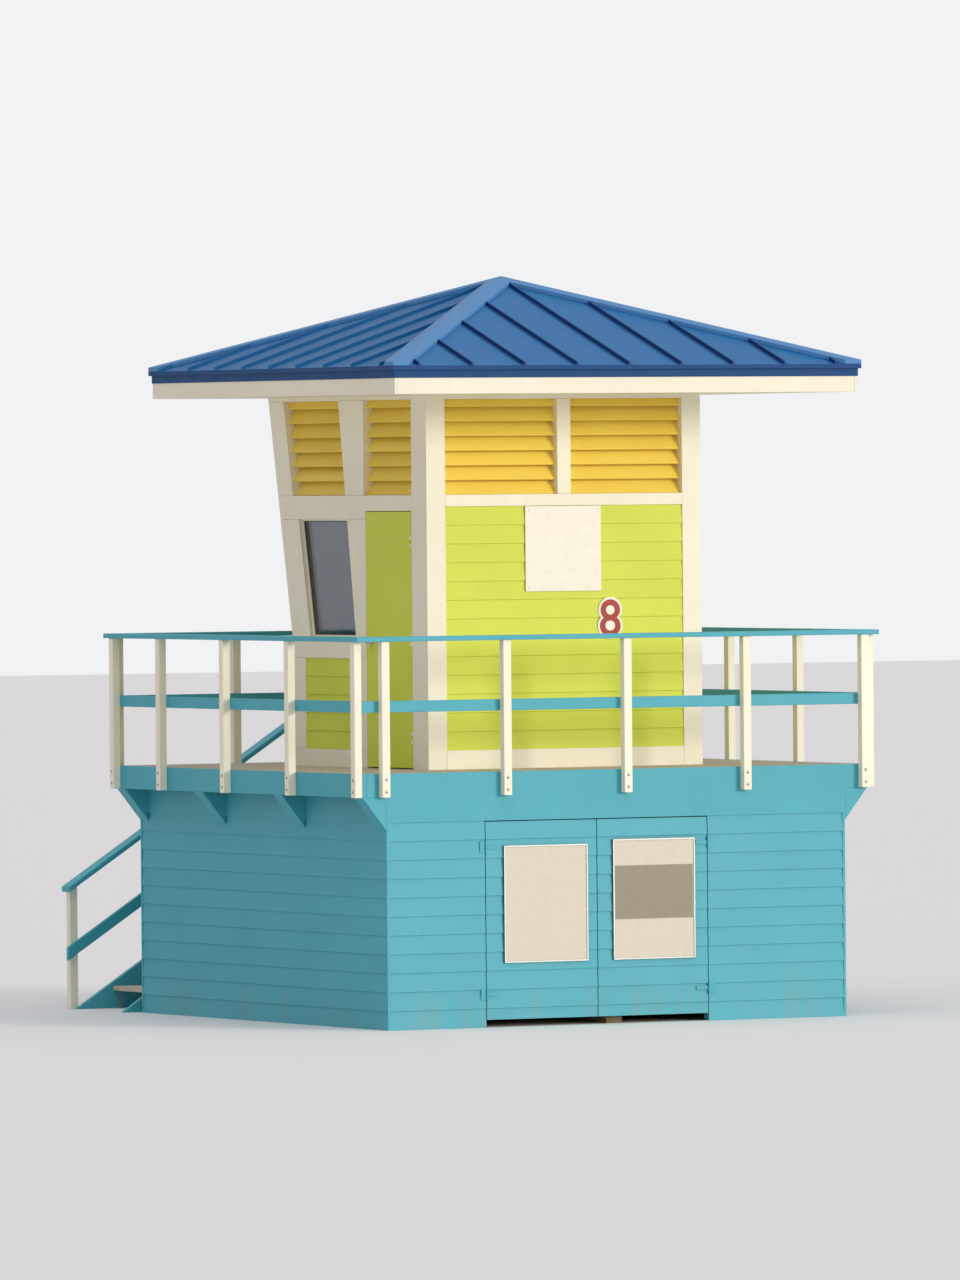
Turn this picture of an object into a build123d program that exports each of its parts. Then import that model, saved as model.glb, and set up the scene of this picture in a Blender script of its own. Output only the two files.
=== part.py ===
from build123d import *
import math
import os

# Lifeguard tower: a store room at ground level, a railed deck on top of it, a cabin with a
# forward-leaning front, and a hipped metal roof. Millimetres, +Z up.
# The origin is on the ground under the middle of the store room. The sea is towards -Y.
# Left and right are as seen from the land side, so left is +X.

os.makedirs("parts", exist_ok=True)

# Store room
base_width = 4120.0
base_depth = 4240.0
base_wall = 90.0
skid_width = 140.0
skid_height = 90.0
skid_pitch = 1500.0
skid_count = 3
store_floor_thickness = 22.0
store_doorway_width = 2000.0
store_doorway_centre = 190.0
store_header_drop = 383.0
store_door_thickness = 44.0
store_door_gap = 8.0
store_door_lift = 60.0

# Deck
deck_level = 2000.0
deck_overhang = 210.0
deck_board = 38.0
rim_height = 184.0
rim_thickness = 38.0
joist_width = 38.0
joist_count = 10
bracket_height = 260.0
bracket_thickness = 140.0
bracket_count = 4

# Railing
rail_height = 1067.0
cap_thickness = 38.0
cap_width = 140.0
cap_lip = 10.0
mid_rail_height = 89.0
mid_rail_thickness = 38.0
mid_rail_centre = 522.0
post_face = 70.0
post_depth = 64.0
left_post_inset = 180.0
right_post_inset = 50.0
side_post_inset = 35.0
side_post_pitch = 1115.0
back_post_count = 5
side_post_count = 4
front_post_count = 4

# Stair and landing
stair_width = 950.0
landing_length = 1270.0
riser_count = 11
going = 286.5
tread_thickness = 38.0
tread_overlap = 25.0
stringer_thickness = 45.0
stringer_depth = 286.0
stringer_lift = 30.0
stair_rail_run_out = 400.0
stair_post_count = 4
landing_joist_count = 3

# Cabin
cabin_width = 2440.0
cabin_depth = 2260.0
cabin_back = 1270.0
cabin_wall = 100.0
ceiling_height = 2954.0
sill_height = 1040.0
sill_rail = 40.0
front_lean = 11.5
post_lean = 8.3
window_band = 190.0
window_post_foot = 1188.0
window_front_post = 295.0
louvre_head = 34.0
louvre_height = 754.0
louvre_front_post = 235.0
louvre_rear_start = 230.0
louvre_rear_end = 1040.0
mullion_width = 120.0
glass_thickness = 8.0
glass_setback = 25.0

# Cabin doorway, measured from the back corner of the left wall
doorway_start = 240.0
doorway_end = 1010.0
doorway_band = 125.0
cabin_door_thickness = 44.0
cabin_door_gap = 6.0
cabin_door_lift = 10.0

# Trim boards
trim_thickness = 19.0
back_corner_board = 150.0
back_base_board = 150.0
side_base_board = 140.0
back_belt = 92.0
sill_band_bottom = 868.0
side_panel_start = 1300.0
side_panel_end = 2060.0

# Louvre slats
slat_count = 7
slat_pitch = 116.0
slat_width = 135.0
slat_thickness = 16.0
slat_angle = 60.0

# Roof
roof_size = 4200.0
roof_centre = 270.0
roof_pitch = 18.43
sheet_thickness = 20.0
sheet_hem = 35.0
hem_reach = 20.0
drip_height = 95.0
drip_thickness = 10.0
fascia_height = 125.0
fascia_setback = 25.0
fascia_thickness = 25.0
soffit_thickness = 15.0
seam_count = 9
seam_pitch = 467.0
seam_width = 14.0
seam_height = 25.0
hip_cap_width = 204.0
hip_cap_height = 32.0

# Hinges and handle
store_hinge_inset = 200.0
cabin_hinge_inset = 245.0
cabin_hinge_count = 3
hinge_stand_off = 8.0
knuckle_radius = 7.0
pin_radius = 3.0
running_gap = 0.3
knuckle_height = 30.0
hinge_plate_width = 50.0
hinge_plate_thickness = 3.0
plate_clearance = 2.0
strap_length = 110.0
handle_height = 1000.0
handle_inset = 75.0
handle_length = 130.0
handle_reach = 50.0
handle_radius = 9.0
rose_radius = 26.0
rose_thickness = 8.0

# Levels and faces that follow from the sizes above
half_base = base_width / 2
half_depth = base_depth / 2
base_top = deck_level - rim_height
base_header = deck_level - store_header_drop
deck_edge = half_base + deck_overhang
deck_bottom = deck_level - deck_board
rail_top = deck_level + rail_height
rail_under = rail_top - cap_thickness
mid_rail_z = deck_level + mid_rail_centre
half_cabin = cabin_width / 2
cabin_front = cabin_back - cabin_depth
frame_bottom = sill_height - sill_rail
louvre_top = ceiling_height - louvre_head
louvre_bottom = louvre_top - louvre_height
window_top = louvre_bottom - window_band
doorway_height = louvre_bottom - doorway_band
belt_bottom = louvre_bottom - back_belt
lean_slope = math.tan(math.radians(front_lean))
post_slope = math.tan(math.radians(post_lean))
roof_slope = math.tan(math.radians(roof_pitch))
half_roof = roof_size / 2
fascia_top = ceiling_height + fascia_height
eave_height = fascia_top + drip_height
apex_height = eave_height + half_roof * roof_slope
rise = deck_level / riser_count
stair_slope = rise / going
landing_start = -deck_edge
landing_end = landing_start + landing_length
stair_near = -half_depth
stair_far = -half_depth - stair_width


def box_part(x_range, y_range, z_range):
    """A squared block between two corners."""
    with BuildPart() as block:
        with Locations((x_range[0], y_range[0], z_range[0])):
            Box(
                x_range[1] - x_range[0],
                y_range[1] - y_range[0],
                z_range[1] - z_range[0],
                align=(Align.MIN, Align.MIN, Align.MIN),
            )
    return block.part


def save(piece, name):
    piece.label = name
    export_step(piece, f"parts/{name}.step")


def front_face(height):
    """Y of the cabin's front face at a height above the deck."""
    return cabin_front - max(0.0, height - sill_height) * lean_slope


def window_post_edge(height):
    """Y of the slanted edge of the post between doorway and window."""
    return cabin_back - window_post_foot - (height - sill_height) * post_slope


# Skids
with BuildPart() as skids:
    with GridLocations(skid_pitch, 0, skid_count, 1):
        Box(
            skid_width,
            base_depth - 2 * base_wall,
            skid_height,
            align=(Align.CENTER, Align.CENTER, Align.MIN),
        )
save(skids.part, "skids")

# Store floor
with BuildPart() as store_floor:
    with BuildSketch(Plane.XY.offset(skid_height)):
        Rectangle(base_width - 2 * base_wall, base_depth - 2 * base_wall)
    extrude(amount=store_floor_thickness)
save(store_floor.part, "store_floor")

# Store room walls
with BuildPart() as base_front_wall:
    with BuildSketch(Plane.XY):
        with Locations((0, -half_depth + base_wall / 2)):
            Rectangle(base_width, base_wall)
    extrude(amount=base_top)
save(base_front_wall.part, "base_front_wall")

for side, side_name in ((1, "left"), (-1, "right")):
    with BuildPart() as base_side_wall:
        with BuildSketch(Plane.XY):
            with Locations((side * (half_base - base_wall / 2), 0)):
                Rectangle(base_wall, base_depth - 2 * base_wall)
        extrude(amount=base_top)
    save(base_side_wall.part, f"base_{side_name}_wall")

doorway_left = store_doorway_centre + store_doorway_width / 2
doorway_right = store_doorway_centre - store_doorway_width / 2
wall_band = (half_depth - base_wall, half_depth)
save(box_part((doorway_left, half_base), wall_band, (0, base_top)), "base_back_wall_left")
save(box_part((-half_base, doorway_right), wall_band, (0, base_top)), "base_back_wall_right")
save(
    box_part((doorway_right, doorway_left), wall_band, (base_header, base_top)),
    "base_back_header",
)

# Hinge halves about the Z axis, with the door towards -X, the wall towards +X
# and the outer faces of both towards +Y
knuckle_pitch = knuckle_height + running_gap
plate_start = knuckle_radius + plate_clearance

with BuildPart() as hinge_door_half:
    Cylinder(knuckle_radius, knuckle_height)
    with Locations((0, hinge_plate_thickness / 2 - hinge_stand_off, 0)):
        Box(
            strap_length,
            hinge_plate_thickness,
            knuckle_height,
            align=(Align.MAX, Align.CENTER, Align.CENTER),
        )
    Cylinder(pin_radius + running_gap, knuckle_height, mode=Mode.SUBTRACT)

with BuildPart() as hinge_wall_half:
    with Locations((0, 0, knuckle_pitch), (0, 0, -knuckle_pitch)):
        Cylinder(knuckle_radius, knuckle_height)
        with Locations((0, hinge_plate_thickness / 2 - hinge_stand_off, 0)):
            Box(
                hinge_plate_width,
                hinge_plate_thickness,
                knuckle_height,
                align=(Align.MIN, Align.CENTER, Align.CENTER),
            )
    with Locations((plate_start, hinge_plate_thickness / 2 - hinge_stand_off, 0)):
        Box(
            hinge_plate_width - plate_start,
            hinge_plate_thickness,
            3 * knuckle_height,
            align=(Align.MIN, Align.CENTER, Align.CENTER),
        )
    Cylinder(pin_radius, 3 * knuckle_height)

turned_over = Location((0, 0, 0), (0, 180, 0))

# Store doors
store_door_width = (store_doorway_width - 3 * store_door_gap) / 2
store_door_height = base_header - store_door_gap - store_door_lift
store_hinge_heights = (
    store_door_lift + store_hinge_inset,
    base_header - store_door_gap - store_hinge_inset,
)
hinge_y = half_depth + hinge_stand_off
left_hinge_x = doorway_left - store_door_gap / 2
right_hinge_x = doorway_right + store_door_gap / 2

with BuildPart() as store_door_left:
    with BuildSketch(Plane.XY.offset(store_door_lift)):
        with Locations((doorway_left - store_door_gap, half_depth)):
            Rectangle(store_door_width, store_door_thickness, align=(Align.MAX, Align.MAX))
    extrude(amount=store_door_height)
    for height in store_hinge_heights:
        with Locations((left_hinge_x, hinge_y, height)):
            add(hinge_door_half.part)
save(store_door_left.part, "store_door_left")

with BuildPart() as store_door_right:
    with BuildSketch(Plane.XY.offset(store_door_lift)):
        with Locations((doorway_right + store_door_gap, half_depth)):
            Rectangle(store_door_width, store_door_thickness, align=(Align.MIN, Align.MAX))
    extrude(amount=store_door_height)
    for height in store_hinge_heights:
        with Locations(Location((right_hinge_x, hinge_y, height)) * turned_over):
            add(hinge_door_half.part)
save(store_door_right.part, "store_door_right")

# Deck frame
with BuildPart() as deck_joists:
    joist_run = base_depth - 2 * rim_thickness - joist_width
    with BuildSketch(Plane.XY.offset(base_top)):
        with GridLocations(0, joist_run / (joist_count - 1), 1, joist_count):
            Rectangle(2 * (deck_edge - rim_thickness), joist_width)
    extrude(amount=rim_height - deck_board)
save(deck_joists.part, "deck_joists")

with BuildPart() as deck_boards:
    with BuildSketch(Plane.XY.offset(deck_bottom)):
        Rectangle(2 * (deck_edge - rim_thickness), base_depth - 2 * rim_thickness)
    extrude(amount=deck_board)
save(deck_boards.part, "deck_boards")

with BuildPart() as deck_rim:
    with BuildSketch(Plane.XY.offset(base_top)):
        Rectangle(2 * deck_edge, base_depth)
        Rectangle(
            2 * (deck_edge - rim_thickness),
            base_depth - 2 * rim_thickness,
            mode=Mode.SUBTRACT,
        )
    extrude(amount=rim_height)
save(deck_rim.part, "deck_rim")

# Brackets under the overhanging sides of the deck
bracket_run = base_depth - bracket_thickness
with BuildPart() as deck_brackets:
    for row in range(bracket_count):
        bracket_y = half_depth - row * bracket_run / (bracket_count - 1)
        with BuildSketch(Plane.XZ.offset(-bracket_y)):
            with BuildLine():
                Polyline(
                    (half_base, base_top),
                    (deck_edge, base_top),
                    (half_base, base_top - bracket_height),
                    close=True,
                )
            make_face()
        extrude(amount=bracket_thickness)
    mirror(about=Plane.YZ)
save(deck_brackets.part, "deck_brackets")


# Railing
def even_places(first, last, count):
    """Places from first to last at one even pitch."""
    return [first + (last - first) * step / (count - 1) for step in range(count)]


back_posts = even_places(
    deck_edge - left_post_inset, right_post_inset - deck_edge, back_post_count
)
side_posts = [half_depth - side_post_inset - row * side_post_pitch for row in range(side_post_count)]
side_posts.append(side_post_inset - half_depth)
front_posts = even_places(
    deck_edge - side_post_inset, landing_end + post_face / 2, front_post_count
)


def post_row(places, along_x, outer_face, outward):
    """Posts fixed outside the rim, from its lower edge to the underside of the cap."""
    with BuildPart() as row:
        with BuildSketch(Plane.XY.offset(base_top)):
            for place in places:
                middle = outer_face + outward * post_depth / 2
                if along_x:
                    with Locations((place, middle)):
                        Rectangle(post_face, post_depth)
                else:
                    with Locations((middle, place)):
                        Rectangle(post_depth, post_face)
        extrude(amount=rail_under - base_top)
    return row.part


save(post_row(back_posts, True, half_depth, 1), "back_rail_posts")
save(post_row(front_posts, True, -half_depth, -1), "front_rail_posts")
save(post_row(side_posts, False, deck_edge, 1), "left_rail_posts")
save(post_row(side_posts, False, -deck_edge, -1), "right_rail_posts")

cap_outer = post_depth + cap_lip
cap_inner = cap_width - cap_outer
mid_rail_range = (mid_rail_z - mid_rail_height / 2, mid_rail_z + mid_rail_height / 2)
cap_range = (rail_under, rail_top)
cap_end_x = deck_edge + cap_outer
side_cap_y = (-half_depth + cap_inner, half_depth - cap_inner)
side_rail_y = (-half_depth + mid_rail_thickness, half_depth - mid_rail_thickness)

with BuildPart() as back_rails:
    add(box_part((-cap_end_x, cap_end_x), (half_depth - cap_inner, half_depth + cap_outer), cap_range))
    add(
        box_part(
            (-deck_edge, deck_edge),
            (half_depth - mid_rail_thickness, half_depth),
            mid_rail_range,
        )
    )
save(back_rails.part, "back_rails")

with BuildPart() as front_rails:
    add(
        box_part(
            (landing_end, cap_end_x),
            (-half_depth - cap_outer, -half_depth + cap_inner),
            cap_range,
        )
    )
    add(
        box_part(
            (landing_end, deck_edge),
            (-half_depth, -half_depth + mid_rail_thickness),
            mid_rail_range,
        )
    )
save(front_rails.part, "front_rails")

with BuildPart() as left_rails:
    add(box_part((deck_edge - cap_inner, deck_edge + cap_outer), side_cap_y, cap_range))
    add(box_part((deck_edge - mid_rail_thickness, deck_edge), side_rail_y, mid_rail_range))
save(left_rails.part, "left_rails")

with BuildPart() as right_rails:
    add(
        box_part(
            (-deck_edge - cap_outer, -deck_edge + cap_inner),
            (-half_depth, half_depth - cap_inner),
            cap_range,
        )
    )
    add(
        box_part(
            (-deck_edge, -deck_edge + mid_rail_thickness),
            (-half_depth, half_depth - mid_rail_thickness),
            mid_rail_range,
        )
    )
save(right_rails.part, "right_rails")

# Landing on the sea side, at deck level
with BuildPart() as landing_boards:
    with BuildSketch(Plane.XY.offset(deck_bottom)):
        with Locations((landing_start, stair_near)):
            Rectangle(landing_length, stair_width, align=(Align.MIN, Align.MAX))
    extrude(amount=deck_board)
save(landing_boards.part, "landing_boards")

landing_frame_height = rim_height - deck_board
with BuildPart() as landing_frame:
    with BuildSketch(Plane.XY.offset(base_top)):
        with Locations((landing_start, stair_near)):
            Rectangle(landing_length, stair_width, align=(Align.MIN, Align.MAX))
        with Locations((landing_start + rim_thickness, stair_near - rim_thickness)):
            Rectangle(
                landing_length - 2 * rim_thickness,
                stair_width - 2 * rim_thickness,
                align=(Align.MIN, Align.MAX),
                mode=Mode.SUBTRACT,
            )
        with Locations((landing_start + landing_length / 2, stair_near - stair_width / 2)):
            with GridLocations(landing_length / landing_joist_count, 0, landing_joist_count - 1, 1):
                Rectangle(joist_width, stair_width)
    extrude(amount=landing_frame_height)
save(landing_frame.part, "landing_frame")


# Stair flight, falling towards the left
def pitch_line(x):
    """Height of the line through the nosings."""
    return deck_level - (x - landing_end) * stair_slope


stair_foot = landing_end + (riser_count - 1) * going
stringer_rise = stringer_depth / math.cos(math.atan(stair_slope))
stringer_low = stringer_rise - stringer_lift
stair_ground = landing_end + (deck_level + stringer_lift) / stair_slope


def stringer(y_near):
    """A closed stringer between the landing frame and the ground."""
    low_ground = landing_end + (deck_level - stringer_low) / stair_slope
    with BuildPart() as board:
        with BuildSketch(Plane.XZ.offset(-y_near)):
            with BuildLine():
                Polyline(
                    (landing_end, deck_bottom),
                    (landing_end, pitch_line(landing_end) - stringer_low),
                    (low_ground, 0),
                    (stair_ground, 0),
                    (landing_end + (deck_board + stringer_lift) / stair_slope, deck_bottom),
                    close=True,
                )
            make_face()
        extrude(amount=stringer_thickness)
    return board.part


with BuildPart() as stair_stringers:
    add(stringer(stair_near - post_depth - cap_lip))
    add(stringer(stair_far + stringer_thickness))
save(stair_stringers.part, "stair_stringers")

tread_near = stair_near - post_depth - cap_lip - stringer_thickness
tread_far = stair_far + stringer_thickness
with BuildPart() as treads:
    for step in range(1, riser_count):
        tread_start = landing_end + (step - 1) * going - (tread_overlap if step > 1 else 0)
        add(
            box_part(
                (tread_start, landing_end + step * going),
                (tread_far, tread_near),
                (deck_level - step * rise - tread_thickness, deck_level - step * rise),
            )
        )
save(treads.part, "treads")

# Stair railing on the sea side, round the landing and down the flight
stair_end = stair_foot + stair_rail_run_out
stair_angle = math.atan(stair_slope)
post_line = stair_far - post_depth / 2
landing_posts = (landing_start + post_face / 2, landing_end - post_face / 2 - cap_thickness)
flight_posts = even_places(landing_posts[1], stair_end - post_face, stair_post_count)[1:]
cap_drop = cap_thickness / 2
mid_drop = rail_height - mid_rail_centre


def rail_edge(x, centre_drop, offset):
    """Height of an edge parallel to a sloping rail's centre line."""
    return rail_top - centre_drop - (x - landing_end) * stair_slope + offset / math.cos(stair_angle)


with BuildPart() as stair_posts:
    with BuildSketch(Plane.XY):
        for post_x in landing_posts:
            with Locations((post_x, post_line)):
                Rectangle(post_face, post_depth)
    extrude(amount=rail_under)
    for post_x in flight_posts:
        before = post_x - post_face / 2
        after = post_x + post_face / 2
        with BuildSketch(Plane.XZ.offset(-stair_far)):
            with BuildLine():
                Polyline(
                    (before, max(0, pitch_line(before) - stringer_low)),
                    (after, max(0, pitch_line(after) - stringer_low)),
                    (after, rail_edge(after, cap_drop, -cap_drop)),
                    (before, rail_edge(before, cap_drop, -cap_drop)),
                    close=True,
                )
            make_face()
        extrude(amount=post_depth)
save(stair_posts.part, "stair_posts")


def sloping_rail(start, centre_drop, depth, y_outer, thickness):
    """A rail that is level over the landing and then follows the flight."""
    half = depth / 2
    bend = half * math.tan(stair_angle / 2)
    level = rail_top - centre_drop
    with BuildPart() as rail:
        with BuildSketch(Plane.XZ.offset(-y_outer)):
            with BuildLine():
                Polyline(
                    (start, level + half),
                    (landing_end + bend, level + half),
                    (stair_end, rail_edge(stair_end, centre_drop, half)),
                    (stair_end, rail_edge(stair_end, centre_drop, -half)),
                    (landing_end - bend, level - half),
                    (start, level - half),
                    close=True,
                )
            make_face()
        extrude(amount=-thickness)
    return rail.part


with BuildPart() as stair_rails:
    add(sloping_rail(-cap_end_x, cap_drop, cap_thickness, stair_far - cap_outer, cap_width))
    add(
        box_part(
            (-cap_end_x, -cap_end_x + cap_width),
            (stair_far - cap_outer + cap_width, stair_near),
            cap_range,
        )
    )
    add(sloping_rail(landing_start, mid_drop, mid_rail_height, stair_far, mid_rail_thickness))
    add(
        box_part(
            (landing_start, landing_start + mid_rail_thickness),
            (stair_far + mid_rail_thickness, stair_near),
            mid_rail_range,
        )
    )
save(stair_rails.part, "stair_rails")

# Cabin walls
deck_plane = Plane.XY.offset(deck_level)
back_inner = cabin_back - cabin_wall
side_inner = half_cabin - cabin_wall


def louvre_panel_sketch(y_face):
    """Louvre panels of the back and front, upright rectangles beside the mullion."""
    panel_width = half_cabin - back_corner_board - mullion_width / 2
    with BuildSketch(Plane.XZ.offset(-y_face)) as panels:
        for way in (1, -1):
            with Locations(
                (
                    way * (mullion_width + panel_width) / 2,
                    deck_level + (louvre_bottom + louvre_top) / 2,
                )
            ):
                Rectangle(panel_width, louvre_top - louvre_bottom)
    return panels.sketch


def front_window_sketch(y_face):
    """Front windows, with the same widths as the louvre panels over them."""
    panel_width = half_cabin - back_corner_board - mullion_width / 2
    with BuildSketch(Plane.XZ.offset(-y_face)) as panes:
        for way in (1, -1):
            with Locations(
                (
                    way * (mullion_width + panel_width) / 2,
                    deck_level + (sill_height + window_top) / 2,
                )
            ):
                Rectangle(panel_width, window_top - sill_height)
    return panes.sketch


def side_shape(points, x_start):
    """A face on a side wall from (Y, height above deck) points."""
    with BuildSketch(Plane.YZ.offset(x_start)) as face:
        with BuildLine():
            Polyline(*[(y, deck_level + height) for y, height in points], close=True)
        make_face()
    return face.sketch


rear_louvre_points = [
    (cabin_back - louvre_rear_start, louvre_bottom),
    (cabin_back - louvre_rear_end, louvre_bottom),
    (cabin_back - louvre_rear_end, louvre_top),
    (cabin_back - louvre_rear_start, louvre_top),
]
front_louvre_points = [
    (window_post_edge(louvre_bottom), louvre_bottom),
    (front_face(louvre_bottom) + louvre_front_post, louvre_bottom),
    (front_face(louvre_top) + louvre_front_post, louvre_top),
    (window_post_edge(louvre_top), louvre_top),
]
window_points = [
    (window_post_edge(sill_height), sill_height),
    (front_face(sill_height) + window_front_post, sill_height),
    (front_face(window_top) + window_front_post, window_top),
    (window_post_edge(window_top), window_top),
]
window_frame_points = [
    (cabin_back - doorway_end, frame_bottom),
    (cabin_front, frame_bottom),
    (cabin_front, sill_height),
    (front_face(ceiling_height), ceiling_height),
    (cabin_back - louvre_rear_end, ceiling_height),
    (cabin_back - louvre_rear_end, doorway_height),
    (cabin_back - doorway_end, doorway_height),
]
head_points = [
    (back_inner, doorway_height),
    (cabin_back - louvre_rear_end, doorway_height),
    (cabin_back - louvre_rear_end, ceiling_height),
    (back_inner, ceiling_height),
]

with BuildPart() as cabin_back_wall:
    with BuildSketch(deck_plane):
        with Locations((0, cabin_back - cabin_wall / 2)):
            Rectangle(cabin_width, cabin_wall)
    extrude(amount=ceiling_height)
    extrude(louvre_panel_sketch(cabin_back), amount=cabin_wall, mode=Mode.SUBTRACT)
save(cabin_back_wall.part, "cabin_back_wall")

save(
    box_part(
        (side_inner, half_cabin),
        (cabin_back - doorway_start, back_inner),
        (deck_level, deck_level + doorway_height),
    ),
    "cabin_left_wall_rear",
)

with BuildPart() as cabin_left_head:
    extrude(side_shape(head_points, side_inner), amount=cabin_wall)
    extrude(side_shape(rear_louvre_points, side_inner), amount=cabin_wall, mode=Mode.SUBTRACT)
save(cabin_left_head.part, "cabin_left_door_head")

with BuildPart() as cabin_right_wall_rear:
    with BuildSketch(deck_plane):
        with Locations((-half_cabin, back_inner)):
            Rectangle(
                cabin_wall,
                back_inner - (cabin_back - louvre_rear_end),
                align=(Align.MIN, Align.MAX),
            )
    extrude(amount=ceiling_height)
    extrude(side_shape(rear_louvre_points, -half_cabin), amount=cabin_wall, mode=Mode.SUBTRACT)
save(cabin_right_wall_rear.part, "cabin_right_wall_rear")

for side_name, wall_start, panel_end in (
    ("left", side_inner, cabin_back - doorway_end),
    ("right", -half_cabin, cabin_back - louvre_rear_end),
):
    save(
        box_part(
            (wall_start, wall_start + cabin_wall),
            (cabin_front, panel_end),
            (deck_level, deck_level + frame_bottom),
        ),
        f"cabin_{side_name}_wall_front",
    )

right_frame_points = [(min(y, cabin_back - louvre_rear_end), z) for y, z in window_frame_points[:5]]
for side_name, wall_start, outline in (
    ("left", side_inner, window_frame_points),
    ("right", -half_cabin, right_frame_points),
):
    with BuildPart() as window_frame:
        extrude(side_shape(outline, wall_start), amount=cabin_wall)
        for hole in (window_points, front_louvre_points):
            extrude(side_shape(hole, wall_start), amount=cabin_wall, mode=Mode.SUBTRACT)
    save(window_frame.part, f"cabin_{side_name}_window_frame")

save(
    box_part(
        (-side_inner, side_inner),
        (cabin_front, cabin_front + cabin_wall),
        (deck_level, deck_level + frame_bottom),
    ),
    "cabin_front_wall",
)

front_frame_points = [
    (cabin_front, frame_bottom),
    (cabin_front, sill_height),
    (front_face(ceiling_height), ceiling_height),
    (front_face(ceiling_height) + cabin_wall, ceiling_height),
    (cabin_front + cabin_wall, sill_height),
    (cabin_front + cabin_wall, frame_bottom),
]
front_cut = 2 * cabin_wall + (ceiling_height - sill_height) * lean_slope
with BuildPart() as cabin_front_frame:
    extrude(side_shape(front_frame_points, -side_inner), amount=2 * side_inner)
    for holes in (front_window_sketch(cabin_front + cabin_wall), louvre_panel_sketch(cabin_front + cabin_wall)):
        extrude(holes, amount=front_cut, mode=Mode.SUBTRACT)
save(cabin_front_frame.part, "cabin_front_frame")

# Window glass
pane_inner = half_cabin - glass_setback - glass_thickness
for side_name, pane_start in (("left", pane_inner), ("right", -pane_inner - glass_thickness)):
    with BuildPart() as side_glass:
        extrude(side_shape(window_points, pane_start), amount=glass_thickness)
    save(side_glass.part, f"{side_name}_window_glass")

front_pane_points = [
    (front_face(sill_height) + glass_setback, sill_height),
    (front_face(sill_height) + glass_setback + glass_thickness, sill_height),
    (front_face(window_top) + glass_setback + glass_thickness, window_top),
    (front_face(window_top) + glass_setback, window_top),
]
with BuildPart() as front_glass:
    extrude(side_shape(front_pane_points, -side_inner), amount=2 * side_inner)
    extrude(
        front_window_sketch(cabin_front + cabin_wall),
        amount=front_cut,
        mode=Mode.INTERSECT,
    )
save(front_glass.part, "front_window_glass")

# Louvre slats, each board falling outwards, the highest one cut off by the head
slat_heights = [louvre_bottom + (step + 0.5) * slat_pitch for step in range(slat_count)]

with BuildPart() as back_louvres:
    with BuildSketch(Plane.YZ.offset(-half_cabin)):
        for height in slat_heights:
            with Locations((cabin_back - cabin_wall / 2, deck_level + height)):
                Rectangle(slat_width, slat_thickness, rotation=-slat_angle)
    extrude(amount=cabin_width)
    extrude(louvre_panel_sketch(cabin_back), amount=cabin_wall, mode=Mode.INTERSECT)
save(back_louvres.part, "back_louvres")

with BuildPart() as front_louvres:
    with BuildSketch(Plane.YZ.offset(-half_cabin)):
        for height in slat_heights:
            with Locations((front_face(height) + cabin_wall / 2, deck_level + height)):
                Rectangle(slat_width, slat_thickness, rotation=slat_angle)
    extrude(amount=cabin_width)
    extrude(
        louvre_panel_sketch(cabin_front + cabin_wall),
        amount=front_cut,
        mode=Mode.INTERSECT,
    )
save(front_louvres.part, "front_louvres")

for side, side_name, wall_start in ((1, "left", side_inner), (-1, "right", -half_cabin)):
    with BuildPart() as louvre_space:
        for hole in (rear_louvre_points, front_louvre_points):
            extrude(side_shape(hole, wall_start), amount=cabin_wall)
    with BuildPart() as side_louvres:
        with BuildSketch(Plane.XZ.offset(-cabin_back)):
            for height in slat_heights:
                with Locations((side * (half_cabin - cabin_wall / 2), deck_level + height)):
                    Rectangle(slat_width, slat_thickness, rotation=-side * slat_angle)
        extrude(amount=cabin_depth + cabin_back)
        add(louvre_space.part, mode=Mode.INTERSECT)
    save(side_louvres.part, f"{side_name}_louvres")

# Trim boards, a raised frame round every siding field, window and louvre
trim_reach = half_cabin + trim_thickness
lower_panel_points = [
    (cabin_back - side_panel_start, side_base_board),
    (cabin_back - side_panel_end, side_base_board),
    (cabin_back - side_panel_end, sill_band_bottom),
    (cabin_back - side_panel_start, sill_band_bottom),
]
doorway_points = [
    (cabin_back - doorway_start, 0),
    (cabin_back - doorway_end, 0),
    (cabin_back - doorway_end, doorway_height),
    (cabin_back - doorway_start, doorway_height),
]
rear_panel_points = [(y, max(z, side_base_board)) for y, z in doorway_points]
side_trim_points = [
    (cabin_back, 0),
    (cabin_front, 0),
    (cabin_front, sill_height),
    (front_face(ceiling_height), ceiling_height),
    (cabin_back, ceiling_height),
]
front_trim_points = [
    (cabin_front, 0),
    (cabin_front - trim_thickness, 0),
    (cabin_front - trim_thickness, sill_height),
    (front_face(ceiling_height) - trim_thickness, ceiling_height),
    (front_face(ceiling_height), ceiling_height),
    (cabin_front, sill_height),
]
field_width = cabin_width - 2 * back_corner_board

with BuildPart() as back_trim:
    with BuildSketch(Plane.XZ.offset(-cabin_back - trim_thickness)):
        with Locations((0, deck_level)):
            Rectangle(2 * trim_reach, ceiling_height, align=(Align.CENTER, Align.MIN))
        with Locations((0, deck_level + back_base_board)):
            Rectangle(
                field_width,
                belt_bottom - back_base_board,
                align=(Align.CENTER, Align.MIN),
                mode=Mode.SUBTRACT,
            )
        add(louvre_panel_sketch(cabin_back + trim_thickness), mode=Mode.SUBTRACT)
    extrude(amount=trim_thickness)

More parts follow.
